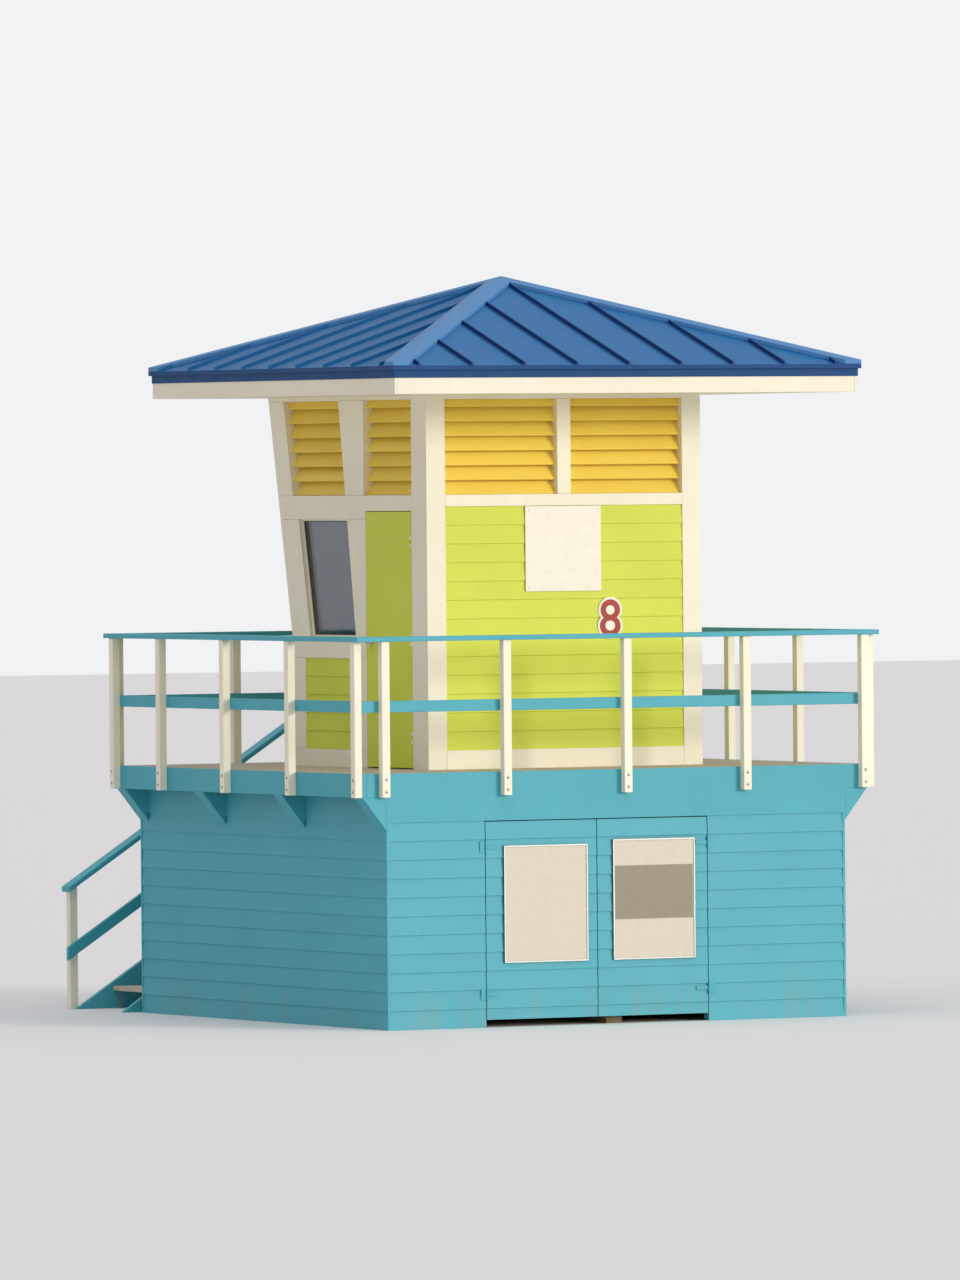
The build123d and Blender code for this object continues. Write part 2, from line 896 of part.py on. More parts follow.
with BuildPart() as front_trim:
    extrude(side_shape(front_trim_points, -trim_reach), amount=2 * trim_reach)
    with BuildSketch(Plane.XZ.offset(-cabin_front)):
        with Locations((0, deck_level + side_base_board)):
            Rectangle(
                field_width,
                sill_band_bottom - side_base_board,
                align=(Align.CENTER, Align.MIN),
            )
    extrude(amount=2 * trim_thickness, mode=Mode.SUBTRACT)
    for holes in (front_window_sketch(cabin_front + cabin_wall), louvre_panel_sketch(cabin_front + cabin_wall)):
        extrude(holes, amount=front_cut, mode=Mode.SUBTRACT)


def side_trim(trim_start, rear_hole):
    """Trim of one side wall, open at its doorway or rear panel, louvres and window."""
    holes = (
        rear_hole,
        rear_louvre_points,
        window_points,
        front_louvre_points,
        lower_panel_points,
    )
    with BuildPart() as boards:
        extrude(side_shape(side_trim_points, trim_start), amount=trim_thickness)
        for hole in holes:
            extrude(side_shape(hole, trim_start), amount=trim_thickness, mode=Mode.SUBTRACT)
    return boards.part


left_trim = side_trim(half_cabin, doorway_points)
right_trim = side_trim(-trim_reach, rear_panel_points)
with BuildPart() as cabin_trim:
    add(back_trim.part)
    add(front_trim.part)
    add(left_trim)
    add(right_trim)
save(cabin_trim.part, "cabin_trim")

# Cabin door, hung at the back corner side and opening outwards
door_rear = cabin_back - doorway_start
door_front = cabin_back - doorway_end
door_face = half_cabin + trim_thickness
cabin_hinge_x = door_face + hinge_stand_off
cabin_hinge_y = door_rear - cabin_door_gap / 2
cabin_hinge_heights = even_places(
    deck_level + cabin_hinge_inset,
    deck_level + doorway_height - cabin_hinge_inset,
    cabin_hinge_count,
)
facing_left = Location((0, 0, 0), (0, 0, -90)) * turned_over

with BuildPart() as cabin_door:
    add(
        box_part(
            (door_face - cabin_door_thickness, door_face),
            (door_front + cabin_door_gap, door_rear - cabin_door_gap),
            (deck_level + cabin_door_lift, deck_level + doorway_height - cabin_door_gap),
        )
    )
    for height in cabin_hinge_heights:
        with Locations(Location((cabin_hinge_x, cabin_hinge_y, height)) * facing_left):
            add(hinge_door_half.part)
save(cabin_door.part, "cabin_door")

handle_y = door_front + handle_inset
handle_z = deck_level + handle_height
with BuildPart() as door_handle:
    with BuildSketch(Plane.YZ.offset(door_face)):
        with Locations((handle_y, handle_z)):
            Circle(rose_radius)
    extrude(amount=rose_thickness)
    with BuildSketch(Plane.YZ.offset(door_face)):
        with Locations((handle_y, handle_z)):
            Circle(handle_radius)
    extrude(amount=handle_reach)
    with BuildSketch(Plane.XZ.offset(-handle_y + handle_radius)):
        with Locations((door_face + handle_reach - handle_radius, handle_z)):
            Circle(handle_radius)
    extrude(amount=-handle_length)
save(door_handle.part, "cabin_door_handle")

# Wall halves of all hinges
with BuildPart() as hinge_plates:
    for height in store_hinge_heights:
        with Locations((left_hinge_x, hinge_y, height)):
            add(hinge_wall_half.part)
        with Locations(Location((right_hinge_x, hinge_y, height)) * turned_over):
            add(hinge_wall_half.part)
    for height in cabin_hinge_heights:
        with Locations(Location((cabin_hinge_x, cabin_hinge_y, height)) * facing_left):
            add(hinge_wall_half.part)
save(hinge_plates.part, "hinge_plates")

# Roof
roof_middle = (0, roof_centre)
fascia_reach = half_roof - fascia_setback
soffit_level = deck_level + ceiling_height

with BuildPart() as soffit:
    with BuildSketch(Plane.XY.offset(soffit_level)):
        with Locations(roof_middle):
            Rectangle(2 * (fascia_reach - fascia_thickness), 2 * (fascia_reach - fascia_thickness))
    extrude(amount=soffit_thickness)
save(soffit.part, "soffit")

with BuildPart() as fascia:
    with BuildSketch(Plane.XY.offset(soffit_level)):
        with Locations(roof_middle):
            Rectangle(2 * fascia_reach, 2 * fascia_reach)
            Rectangle(
                2 * (fascia_reach - fascia_thickness),
                2 * (fascia_reach - fascia_thickness),
                mode=Mode.SUBTRACT,
            )
    extrude(amount=deck_level + fascia_top - soffit_level)
save(fascia.part, "fascia")

eave_z = deck_level + eave_height
apex_z = deck_level + apex_height
sheet_drop = sheet_thickness / math.cos(math.radians(roof_pitch))
seam_rise = seam_height / math.cos(math.radians(roof_pitch))
cap_rise = hip_cap_height / math.cos(math.radians(roof_pitch))
cap_side = hip_cap_width / 2 * math.sqrt(2)
drip_outer = half_roof - hem_reach
drip_inner = drip_outer - drip_thickness
seam_span = seam_pitch * (seam_count - 1)
seam_places = even_places(-seam_span / 2, seam_span / 2, seam_count)


# One slope about the roof's own middle, falling towards +Y
def slope_triangle(set_back):
    """Plan of one slope, held back from both hips."""
    with BuildSketch(Plane.XY.offset(soffit_level)) as plan:
        with BuildLine():
            Polyline(
                (0, set_back),
                (half_roof - set_back, half_roof),
                (set_back - half_roof, half_roof),
                close=True,
            )
        make_face()
    return plan.sketch


with BuildPart() as sheet:
    with BuildSketch(Plane.YZ.offset(-half_roof)):
        with BuildLine():
            Polyline(
                (0, apex_z),
                (half_roof, eave_z),
                (half_roof, eave_z - sheet_hem),
                (drip_outer, eave_z - sheet_hem),
                (drip_outer, eave_z - drip_height),
                (drip_inner, eave_z - drip_height),
                (drip_inner, apex_z - drip_inner * roof_slope - sheet_drop),
                (0, apex_z - sheet_drop),
                close=True,
            )
        make_face()
    extrude(amount=roof_size)
    extrude(slope_triangle(0), amount=roof_size, mode=Mode.INTERSECT)

with BuildPart() as seams:
    for place in seam_places:
        with BuildSketch(Plane.YZ.offset(place - seam_width / 2)):
            with BuildLine():
                Polyline(
                    (0, apex_z),
                    (half_roof, eave_z),
                    (half_roof, eave_z + seam_rise),
                    (0, apex_z + seam_rise),
                    close=True,
                )
            make_face()
        extrude(amount=seam_width)
    extrude(slope_triangle(cap_side), amount=roof_size, mode=Mode.INTERSECT)

for turn, slope_name in ((0, "back"), (90, "right"), (180, "front"), (270, "left")):
    with BuildPart() as slope:
        with Locations(Location((0, roof_centre, 0), (0, 0, turn))):
            add(sheet.part)
            add(seams.part)
    save(slope.part, f"roof_slope_{slope_name}")


def roof_body(lift):
    """The full hipped form under the roof's top surface, raised by lift."""
    with BuildPart() as body:
        for plane, mode in ((Plane.XZ, Mode.ADD), (Plane.YZ, Mode.INTERSECT)):
            with BuildSketch(plane.offset(-half_roof)):
                with BuildLine():
                    Polyline(
                        (-half_roof, soffit_level),
                        (half_roof, soffit_level),
                        (half_roof, eave_z + lift),
                        (0, apex_z + lift),
                        (-half_roof, eave_z + lift),
                        close=True,
                    )
                make_face()
            extrude(amount=roof_size, mode=mode)
    return body.part


lifted_roof = roof_body(cap_rise)
plain_roof = roof_body(0)
with BuildPart() as hip_caps:
    with Locations((0, roof_centre, 0)):
        add(lifted_roof)
        add(plain_roof, mode=Mode.SUBTRACT)
    with BuildSketch(Plane.XY.offset(soffit_level)):
        with Locations(roof_middle):
            Rectangle(2 * roof_size, hip_cap_width, rotation=45)
            Rectangle(2 * roof_size, hip_cap_width, rotation=-45)
    extrude(amount=roof_size, mode=Mode.INTERSECT)
save(hip_caps.part, "hip_caps")
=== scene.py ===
import math
import random
from functools import partial

import bmesh
import bpy
from mathutils import Matrix, Vector


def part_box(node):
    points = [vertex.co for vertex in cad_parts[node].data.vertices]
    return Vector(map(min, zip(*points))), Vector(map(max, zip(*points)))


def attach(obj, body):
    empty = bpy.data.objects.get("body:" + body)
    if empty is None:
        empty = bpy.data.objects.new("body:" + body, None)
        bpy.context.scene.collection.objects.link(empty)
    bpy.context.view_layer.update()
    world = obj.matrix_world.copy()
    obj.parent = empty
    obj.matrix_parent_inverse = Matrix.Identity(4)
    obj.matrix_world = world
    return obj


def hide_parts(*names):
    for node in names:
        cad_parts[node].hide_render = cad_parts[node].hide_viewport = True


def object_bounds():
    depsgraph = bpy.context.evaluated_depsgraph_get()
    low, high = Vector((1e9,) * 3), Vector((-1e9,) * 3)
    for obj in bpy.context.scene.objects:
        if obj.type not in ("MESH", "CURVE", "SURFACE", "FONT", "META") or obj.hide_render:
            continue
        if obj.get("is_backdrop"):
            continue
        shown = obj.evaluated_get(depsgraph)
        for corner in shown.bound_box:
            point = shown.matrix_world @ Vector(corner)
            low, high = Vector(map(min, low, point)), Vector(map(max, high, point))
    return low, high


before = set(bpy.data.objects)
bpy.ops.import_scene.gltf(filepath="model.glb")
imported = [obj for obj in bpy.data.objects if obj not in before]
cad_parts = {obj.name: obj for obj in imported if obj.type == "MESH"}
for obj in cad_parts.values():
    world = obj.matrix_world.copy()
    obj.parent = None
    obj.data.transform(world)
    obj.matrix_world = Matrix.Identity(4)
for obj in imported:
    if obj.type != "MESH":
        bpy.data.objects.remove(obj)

# The box of the construction, before anything is dressed
cad_low, cad_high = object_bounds()

scene = bpy.context.scene

# Directions that the four sides face. The land side is the back, and left is +X.
BACK = Vector((0, 1, 0))
FRONT = Vector((0, -1, 0))
LEFT = Vector((1, 0, 0))
RIGHT = Vector((-1, 0, 0))
UP = Vector((0, 0, 1))
SIDES = {"back": BACK, "front": FRONT, "left": LEFT, "right": RIGHT}

# Lap siding. Every size in this script is in metres.
LAP_BUTT = 0.014
LAP_FEATHER = 0.004
LAP_OVERLAP = 0.02
LAP_JOINT = 0.0015
LAP_EASING = 0.002
BASE_COURSES = 11
CABIN_COURSE = 0.15
FRIEZE_FOOT = 1.617
CORNER_BEAD = 0.022

# A row longer than the longest board is cut between these shares of its length
LONGEST_BOARD = 3.66
JOINT_SHARES = (0.3, 0.7)
BUTT_JOINT = 0.0014
DECK_JOINT = 0.003

# How far arrises are rounded, and the shortest edge that is rounded on the nodes' own forms
THIN_EASING = 0.001
FINE_EASING = 0.002
EASING = 0.003
WIDE_EASING = 0.004
TREAD_EASING = 0.005
SHORTEST_ARRIS = 0.05
SHARP_ANGLE = math.radians(30)

# Fields of siding on the cabin, measured from its corners and from the deck
DECK_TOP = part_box("deck_boards")[1].z
CABIN_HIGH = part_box("cabin_trim")[1]
TRIM = 0.019
BACK_FACE = CABIN_HIGH.y - TRIM
SIDE_FACE = CABIN_HIGH.x - TRIM
FRONT_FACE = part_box("cabin_left_wall_front")[0].y
CORNER_BOARD = 0.15
BACK_FIELD = (0.15, 2.074)
LOWER_FIELD = (0.14, 0.868)
REAR_FIELD = (0.14, 2.041)
REAR_FIELD_SPAN = (0.24, 1.01)
LOWER_FIELD_SPAN = (1.30, 2.06)

# Roof: its eave and slope, the distance between its standing seams, and the span over which the
# painted shade at the foot of a seam fades
EAVE_Z = 5.174
ROOF_PITCH = math.radians(18.43)
SEAM_PITCH = 0.467
SEAM_SHADE_SPAN = (0.014, 0.055)

# Verts within the first distance are one, and faces within the angle are one face. A coordinate
# within the second distance of a wall's edge lies on it.
MERGED = 1e-5
FLAT_ANGLE = math.radians(0.5)
NEAR = 0.001

# Least part of a broad face's normal that looks in a direction, and the least areas of such faces
FACING = 0.9
BROAD_WALL = 0.1
BROAD_PANE = 0.05


def linear(code):
    """Linear colour of an sRGB hex code."""
    channels = [int(code[i:i + 2], 16) / 255 for i in (0, 2, 4)]
    return (*(c / 12.92 if c <= 0.04045 else ((c + 0.055) / 1.055) ** 2.4 for c in channels), 1)


def scaled(colour, factor, lift=0.0):
    """A linear colour made lighter or darker, and lifted."""
    return (*(min(1, c * factor + lift) for c in colour[:3]), 1)


def set_inputs(node, inputs):
    """Sets a node's inputs, each linked where it is given a socket, or a node, of which the first
    output in use is taken."""
    for key, value in inputs.items():
        named = [s for s in node.inputs if s.name == key and s.enabled]
        socket = named[0] if named else node.inputs[key]
        if isinstance(value, bpy.types.Node):
            value = [s for s in value.outputs if s.enabled][0]
        if isinstance(value, bpy.types.NodeSocket):
            node.id_data.links.new(value, socket)
        else:
            socket.default_value = value


def add_node(tree, kind, inputs=None, **settings):
    """A node with its settings, its values and its links."""
    node = tree.nodes.new(kind)
    for name, value in settings.items():
        setattr(node, name, value)
    set_inputs(node, inputs or {})
    return node


def start_material(name):
    """A material, what adds a node to it, its shader, and the place on the object that its
    patterns read."""
    material = bpy.data.materials.new(name)
    material.use_nodes = True
    add = partial(add_node, material.node_tree)
    place = add("ShaderNodeTexCoord").outputs["Object"]
    return material, add, material.node_tree.nodes["Principled BSDF"], place


# Kinds of nodes that the materials share, and the attribute that holds each board's own shade
NOISE = "ShaderNodeTexNoise"
MAPPING = "ShaderNodeMapping"
RANGE = "ShaderNodeMapRange"
MATH = "ShaderNodeMath"
MIX = "ShaderNodeMix"
BUMP = "ShaderNodeBump"
TONE = "tone"

# How far a pattern is squeezed across the grain of boards that run level, upright, or along an axis
LEVEL, UPRIGHT = (1, 1, 14), (14, 14, 1)
ALONG_X, ALONG_Y = (1, 14, 14), (14, 1, 14)

# Pattern scales below are in repeats for each metre


def timber_paint(name, code, run, soil=0.2):
    """Brushed exterior paint on sawn boards: nearly flat colour, faint brush marks along the
    board, each board a shade off the next, and a little sand and salt soiling low down."""
    material, add, shader, place = start_material(name)
    # Brush marks about 4 mm apart across the board
    along = add(MAPPING, {"Vector": place, "Scale": run})
    brush = add(NOISE, {"Vector": along, "Scale": 18, "Detail": 4, "Roughness": 0.6})
    brushed = add(RANGE, {"Value": brush, "From Min": 0.42, "From Max": 0.62, "To Max": 0.16})
    # Sun fading in patches of about half a metre
    patches = add(NOISE, {"Vector": place, "Scale": 1.9, "Detail": 3})
    fading = add(RANGE, {"Value": patches, "From Min": 0.35, "From Max": 0.7})
    tone = add("ShaderNodeAttribute", attribute_name=TONE).outputs["Fac"]
    shade = add(MATH, {0: tone, 1: 0.28}, operation="MULTIPLY")
    # Soiling in runs about 70 mm wide that hang down the wall, strongest near the ground
    hanging = add(MAPPING, {"Vector": place, "Scale": (9, 9, 0.8)})
    runs = add(NOISE, {"Vector": hanging, "Scale": 1.6, "Detail": 5})
    streaks = add(RANGE, {"Value": runs, "From Min": 0.45, "From Max": 0.75, "To Max": soil})
    height = add("ShaderNodeSeparateXYZ", {0: place}).outputs["Z"]
    low = add(RANGE, {"Value": height, "From Max": 0.45, "To Min": 1.0, "To Max": 0.12})
    dirt = add(MATH, {0: streaks, 1: low}, operation="MULTIPLY")
    colour = linear(code)
    faded, worn = scaled(colour, 1.06, 0.008), scaled(colour, 0.86)
    for share, over in ((fading, faded), (shade, worn), (brushed, worn), (dirt, linear("8f8366"))):
        colour = add(MIX, {"Factor": share, "A": colour, "B": over}, data_type="RGBA")
    gloss = add(RANGE, {"Value": brush, "To Min": 0.42, "To Max": 0.62})
    bump = add(BUMP, {"Height": brush, "Strength": 0.25, "Distance": 0.0015})
    set_inputs(shader, {"Base Color": colour, "Roughness": gloss, "Normal": bump})
    return material


def bare_timber(name, code, dark_code, run):
    """Weathered softwood: silvered, with open grain lines and darker knots, and each board of
    its own shade."""
    material, add, shader, place = start_material(name)
    # Grain lines about 5 mm apart across the board
    along = add(MAPPING, {"Vector": place, "Scale": run})
    grain = add(
        NOISE, {"Vector": along, "Scale": 14, "Detail": 6, "Roughness": 0.65, "Distortion": 0.4}
    )
    lines = add(RANGE, {"Value": grain, "From Min": 0.62, "From Max": 0.35})
    # Knots about 300 mm apart
    nearest = add("ShaderNodeTexVoronoi", {"Vector": place, "Scale": 3.2})
    knots = add(RANGE, {"Value": nearest, "From Min": 0.09, "From Max": 0.03, "To Max": 0.7})
    tone = add("ShaderNodeAttribute", attribute_name=TONE).outputs["Fac"]
    shade = add(MATH, {0: tone, 1: 0.45}, operation="MULTIPLY")
    colour, dark = linear(code), linear(dark_code)
    for share in (lines, knots, shade):
        colour = add(MIX, {"Factor": share, "A": colour, "B": dark}, data_type="RGBA")
    bump = add(BUMP, {"Height": grain, "Strength": 0.5, "Distance": 0.002})
    set_inputs(shader, {"Base Color": colour, "Roughness": 0.8, "Normal": bump})
    return material


def coated_sheet(name, code, drip_shade_code=None, seam_axis=None, seam_shade=0.85):
    """Roll-formed steel sheet with a baked coating: even colour, low sheen, slight waviness in
    the flats, faint dust that the rain draws down, and a dark line of painted shade along the
    seams, in place of the shade and shadow that each seam takes."""
    material, add, shader, place = start_material(name)
    # Waves about 400 mm long, and dust in patches of about 140 mm
    waves = add(NOISE, {"Vector": place, "Scale": 2.4, "Detail": 1})
    dust = add(NOISE, {"Vector": place, "Scale": 7.0, "Detail": 6, "Roughness": 0.7})
    dusty = add(RANGE, {"Value": dust, "From Min": 0.45, "From Max": 0.8, "To Max": 0.14})
    colour = linear(code)
    dull = (*(0.75 * c + 0.25 * g for c, g in zip(colour[:3], linear("a9b4bd"))), 1)
    layers = [(dusty, dull)]
    # Painted shade: a dark blue line beside each standing seam stands in for the seam's shaded side
    # and the shadow it casts
    if seam_axis:
        across = add("ShaderNodeSeparateXYZ", {0: place}).outputs[seam_axis]
        from_seam = add(MATH, {0: across, 1: SEAM_PITCH / 2}, operation="PINGPONG")
        foot, end = SEAM_SHADE_SPAN
        fade = {"From Min": end, "From Max": foot, "To Max": seam_shade}
        line = add(RANGE, {"Value": from_seam, **fade})
        layers.append((line, linear("08356f")))
    # Painted shade: below the eave the drip flashing takes a darker blue, in place of the shadow
    # under the sheet's overhanging edge
    if drip_shade_code:
        height = add("ShaderNodeSeparateXYZ", {0: place}).outputs["Z"]
        below = add(MATH, {0: height, 1: EAVE_Z - 0.0005}, operation="LESS_THAN")
        layers.append((below, linear(drip_shade_code)))
    for share, over in layers:
        colour = add(MIX, {"Factor": share, "A": colour, "B": over}, data_type="RGBA")
    gloss = add(RANGE, {"Value": dust, "To Min": 0.42, "To Max": 0.6})
    bump = add(BUMP, {"Height": waves, "Strength": 0.35, "Distance": 0.012})
    set_inputs(shader, {"Base Color": colour, "Roughness": gloss, "Normal": bump})
    set_inputs(shader, {"Specular IOR Level": 0.18})
    return material


def float_glass(name):
    """Grey tinted float glass: clear sharp reflections over a dim room, with a breath of salt in
    patches of about 200 mm."""
    material, add, shader, place = start_material(name)
    film = add(NOISE, {"Vector": place, "Scale": 5.0, "Detail": 5})
    haze = add(RANGE, {"Value": film, "To Min": 0.02, "To Max": 0.12})
    set_inputs(shader, {"Base Color": linear("8e949c"), "Roughness": haze})
    set_inputs(shader, {"Transmission Weight": 1.0, "IOR": 1.5})
    return material


def satin_steel(name, code):
    """Stainless steel brushed in one direction, a little dulled by salt air. Its brush lines are
    drawn 2.5 mm apart, coarser than real ones, so that they show."""
    material, add, shader, place = start_material(name)
    brushed = add(MAPPING, {"Vector": place, "Scale": (400, 40, 400)})
    marks = add(NOISE, {"Vector": brushed, "Scale": 1.0, "Detail": 2})
    gloss = add(RANGE, {"Value": marks, "To Min": 0.28, "To Max": 0.45})
    set_inputs(shader, {"Base Color": linear(code), "Metallic": 1.0, "Roughness": gloss})
    return material


def panel_enamel(name, code, roughness=0.35):
    """Enamelled aluminium sign panel: flat, even colour with a soft sheen and faint handling
    marks about 45 mm across."""
    material, add, shader, place = start_material(name)
    marks = add(NOISE, {"Vector": place, "Scale": 22, "Detail": 5})
    handled = add(RANGE, {"Value": marks, "From Min": 0.45, "From Max": 0.7})
    base = linear(code)
    colour = add(MIX, {"Factor": handled, "A": base, "B": scaled(base, 0.96)}, data_type="RGBA")
    gloss = add(RANGE, {"Value": marks, "To Min": roughness - 0.05, "To Max": roughness + 0.12})
    set_inputs(shader, {"Base Color": colour, "Roughness": gloss})
    return material


TURQUOISE = "3fa8b7"
# Painted light: the cream of the trim, posts, soffit and sashes is a shade lighter than the
# fascia's, though both are one paint, to make up for the shade under the eaves
CREAM_LIGHTENED = "faf2d9"
LIME = "d6e034"
DECK_TIMBER = ("ddd1bc", "aa9a82")
# Darker blue of the drip flashing, a painted shade
DRIP_SHADE_BLUE = "0f467b"

turquoise_level = timber_paint("turquoise_paint_level", TURQUOISE, LEVEL, soil=0.35)
turquoise_upright = timber_paint("turquoise_paint_upright", TURQUOISE, UPRIGHT, soil=0.35)
cream_level = timber_paint("cream_paint_level", CREAM_LIGHTENED, LEVEL)
cream_upright = timber_paint("cream_paint_upright", CREAM_LIGHTENED, UPRIGHT)
# The fascia keeps the cream's own shade; the lighter cream of the other boards is the painted light
cream_fascia = timber_paint("cream_paint_fascia", "f4ecd3", LEVEL)
lime_level = timber_paint("lime_paint_level", LIME, LEVEL)
lime_upright = timber_paint("lime_paint_upright", LIME, UPRIGHT)
yellow_level = timber_paint("yellow_paint_level", "ffdb55", LEVEL)
deck_y = bare_timber("deck_softwood_y", *DECK_TIMBER, ALONG_Y)
deck_x = bare_timber("deck_softwood_x", *DECK_TIMBER, ALONG_X)
rough_level = bare_timber("treated_sawn_timber", "9a8465", "5c4a35", LEVEL)
plywood = bare_timber("sheathing_plywood", "c2a67c", "8e7048", UPRIGHT)
# Both sheets carry the painted seam shade, faint on the left and right slopes and strong on the
# back and front
roof_sheet = coated_sheet("coated_roof_sheet", "10669f", DRIP_SHADE_BLUE, "Y", 0.3)
seam_shaded_sheet = coated_sheet("coated_roof_sheet_seam_shaded", "1c6ca6", DRIP_SHADE_BLUE, "X")
# Painted highlight: the hip caps and their rivets take a lighter blue than the sheets, standing in
# for the light that catches along the hips
hip_highlight_sheet = coated_sheet("coated_hip_cap", "528bbf")
glass = float_glass("grey_float_glass")
steel = satin_steel("satin_stainless", "b9b9b4")
zinc = satin_steel("dull_zinc", "9a9c9a")
sign_enamel = panel_enamel("sign_enamel_cream", "f6f0de")
board_enamel = panel_enamel("board_enamel_white", "d6cbb7")
grey_enamel = panel_enamel("board_enamel_grey", "8b826b")
red_enamel = panel_enamel("numeral_enamel_red", "ab2f1c", 0.5)
gasket = panel_enamel("window_gasket_grey", "3b3d42", 0.6)


def add_object(name, data):
    obj = bpy.data.objects.new(name, data)
    scene.collection.objects.link(obj)
    return obj


def set_finish(mesh, material):
    mesh.materials.clear()
    mesh.materials.append(material)


def make_piece(name, mesh, material, slot, *replaced, body="tower"):
    """A finished mesh as an object that rides on a body, in place of the named nodes."""
    mesh.name = name
    set_finish(mesh, material)
    obj = add_object(name, mesh)
    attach(obj, body)
    if replaced:
        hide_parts(*replaced)
    return obj


def mesh_of(bm):
    """The mesh of a bmesh, which is given up."""
    mesh = bpy.data.meshes.new("made")
    bm.to_mesh(mesh)
    bm.free()
    return mesh


def plain_mesh(carrier):
    """The mesh that an object comes out as, and the object taken away."""
    depsgraph = bpy.context.evaluated_depsgraph_get()
    mesh = bpy.data.meshes.new_from_object(carrier.evaluated_get(depsgraph), depsgraph=depsgraph)
    bpy.data.objects.remove(carrier)
    return mesh


def add_block(bm, low, high):
    """A squared block between two corners."""
    xs, ys, zs = zip(low, high)
    verts = [bm.verts.new((x, y, z)) for x in xs for y in ys for z in zs]
    for loop in (
        (0, 1, 3, 2), (4, 6, 7, 5), (0, 4, 5, 1), (2, 3, 7, 6), (0, 2, 6, 4), (1, 5, 7, 3)
    ):
        bm.faces.new([verts[i] for i in loop])


def round_edges(bm, edges, width):
    bmesh.ops.bevel(
        bm, geom=edges, offset=width, segments=2, profile=0.5, affect="EDGES", clamp_overlap=True
    )


def ease_edges(bm, width, shortest=0.0):
    """Rounds the sharp edges that are at least as long as shortest."""
    sharp = [e for e in bm.edges if e.calc_face_angle(0) > SHARP_ANGLE]
    round_edges(bm, [e for e in sharp if e.calc_length() >= shortest], width)


def node_triangles(node):
    """A bmesh of a CAD node's triangles, merged where they meet."""
    bm = bmesh.new()
    bm.from_mesh(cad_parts[node].data)
    bmesh.ops.remove_doubles(bm, verts=bm.verts, dist=MERGED)
    return bm


def join_triangles(bm):
    """Joins the triangles of a bmesh to whole faces."""
    bmesh.ops.dissolve_limit(bm, angle_limit=FLAT_ANGLE, verts=bm.verts, edges=bm.edges)


def node_copy(node):
    """A clean bmesh of a CAD node, with its triangles joined to whole faces."""
    bm = node_triangles(node)
    join_triangles(bm)
    return bm


def cut_away(bm, point, normal):
    """Takes off what a bmesh has behind a plane, and closes the cut with its openings left open."""
    parts = bm.verts[:] + bm.edges[:] + bm.faces[:]
    cut = bmesh.ops.bisect_plane(bm, geom=parts, plane_co=point, plane_no=normal, clear_inner=True)
    rims = [e for e in cut["geom_cut"] if isinstance(e, bmesh.types.BMEdge) and e.is_boundary]
    bmesh.ops.triangle_fill(bm, use_beauty=True, edges=rims)
    bmesh.ops.recalc_face_normals(bm, faces=bm.faces)


def saw(bm, axis, place):
    """What a bmesh has over and under a place on one axis, a joint apart."""
    parts = bm.copy(), bm
    for part, way in zip(parts, (1, -1)):
        point, normal = Vector(), Vector()
        point[axis] = place + way * BUTT_JOINT / 2
        normal[axis] = way
        cut_away(part, point, normal)
    return parts


def crosscut(bm, axis, *places):
    """The boards of a bmesh sawn across one axis, at places given from the highest down."""
    boards = []
    for place in places:
        over, bm = saw(bm, axis, place)
        boards.append(over)
    return boards + [bm]


def islands(bm):
    """The verts of each separate part of a bmesh."""
    seen = set()
    for first in bm.verts:
        if first in seen:
            continue
        seen.add(first)
        part = [first]
        # The list grows while it is walked, until no vert is left to reach
        for vert in part:
            for edge in vert.link_edges:
                other = edge.other_vert(vert)
                if other not in seen:
                    seen.add(other)
                    part.append(other)
        yield part


def toned_mesh(bm, seed):
    """The mesh of a bmesh, with a shade of its own for each separate board."""
    maker = random.Random(seed)
    layer = bm.verts.layers.float.new(TONE)
    for board in islands(bm):
        shade = maker.random()
        for vert in board:
            vert[layer] = shade
    return mesh_of(bm)


def eased_node(node, material, slot, width=EASING, shortest=SHORTEST_ARRIS, body="tower", seed=1):
    """A CAD node's own form with its arrises rounded as planed timber is."""
    bm = node_copy(node)
    ease_edges(bm, width, shortest)
    make_piece(f"{node}_eased", toned_mesh(bm, seed), material, slot, node, body=body)


def geometry_tree(name, **inputs):
    """What adds a node to a new geometry tree with named inputs, and the sockets of those."""
    tree = bpy.data.node_groups.new(name, "GeometryNodeTree")
    for label, kind in {"Geometry": "Geometry", **inputs}.items():
        tree.interface.new_socket(name=label, in_out="INPUT", socket_type="NodeSocket" + kind)
    tree.interface.new_socket(name="Geometry", in_out="OUTPUT", socket_type="NodeSocketGeometry")
    add = partial(add_node, tree)
    return add, add("NodeGroupInput").outputs


def end_tree(add, instances, finish):
    """Makes a geometry tree's instances real, gives them their finish and returns the tree."""
    real = add("GeometryNodeRealizeInstances", {0: instances})
    done = add("GeometryNodeSetMaterial", {"Geometry": real, "Material": finish})
    add("NodeGroupOutput", {0: done})
    return done.id_data


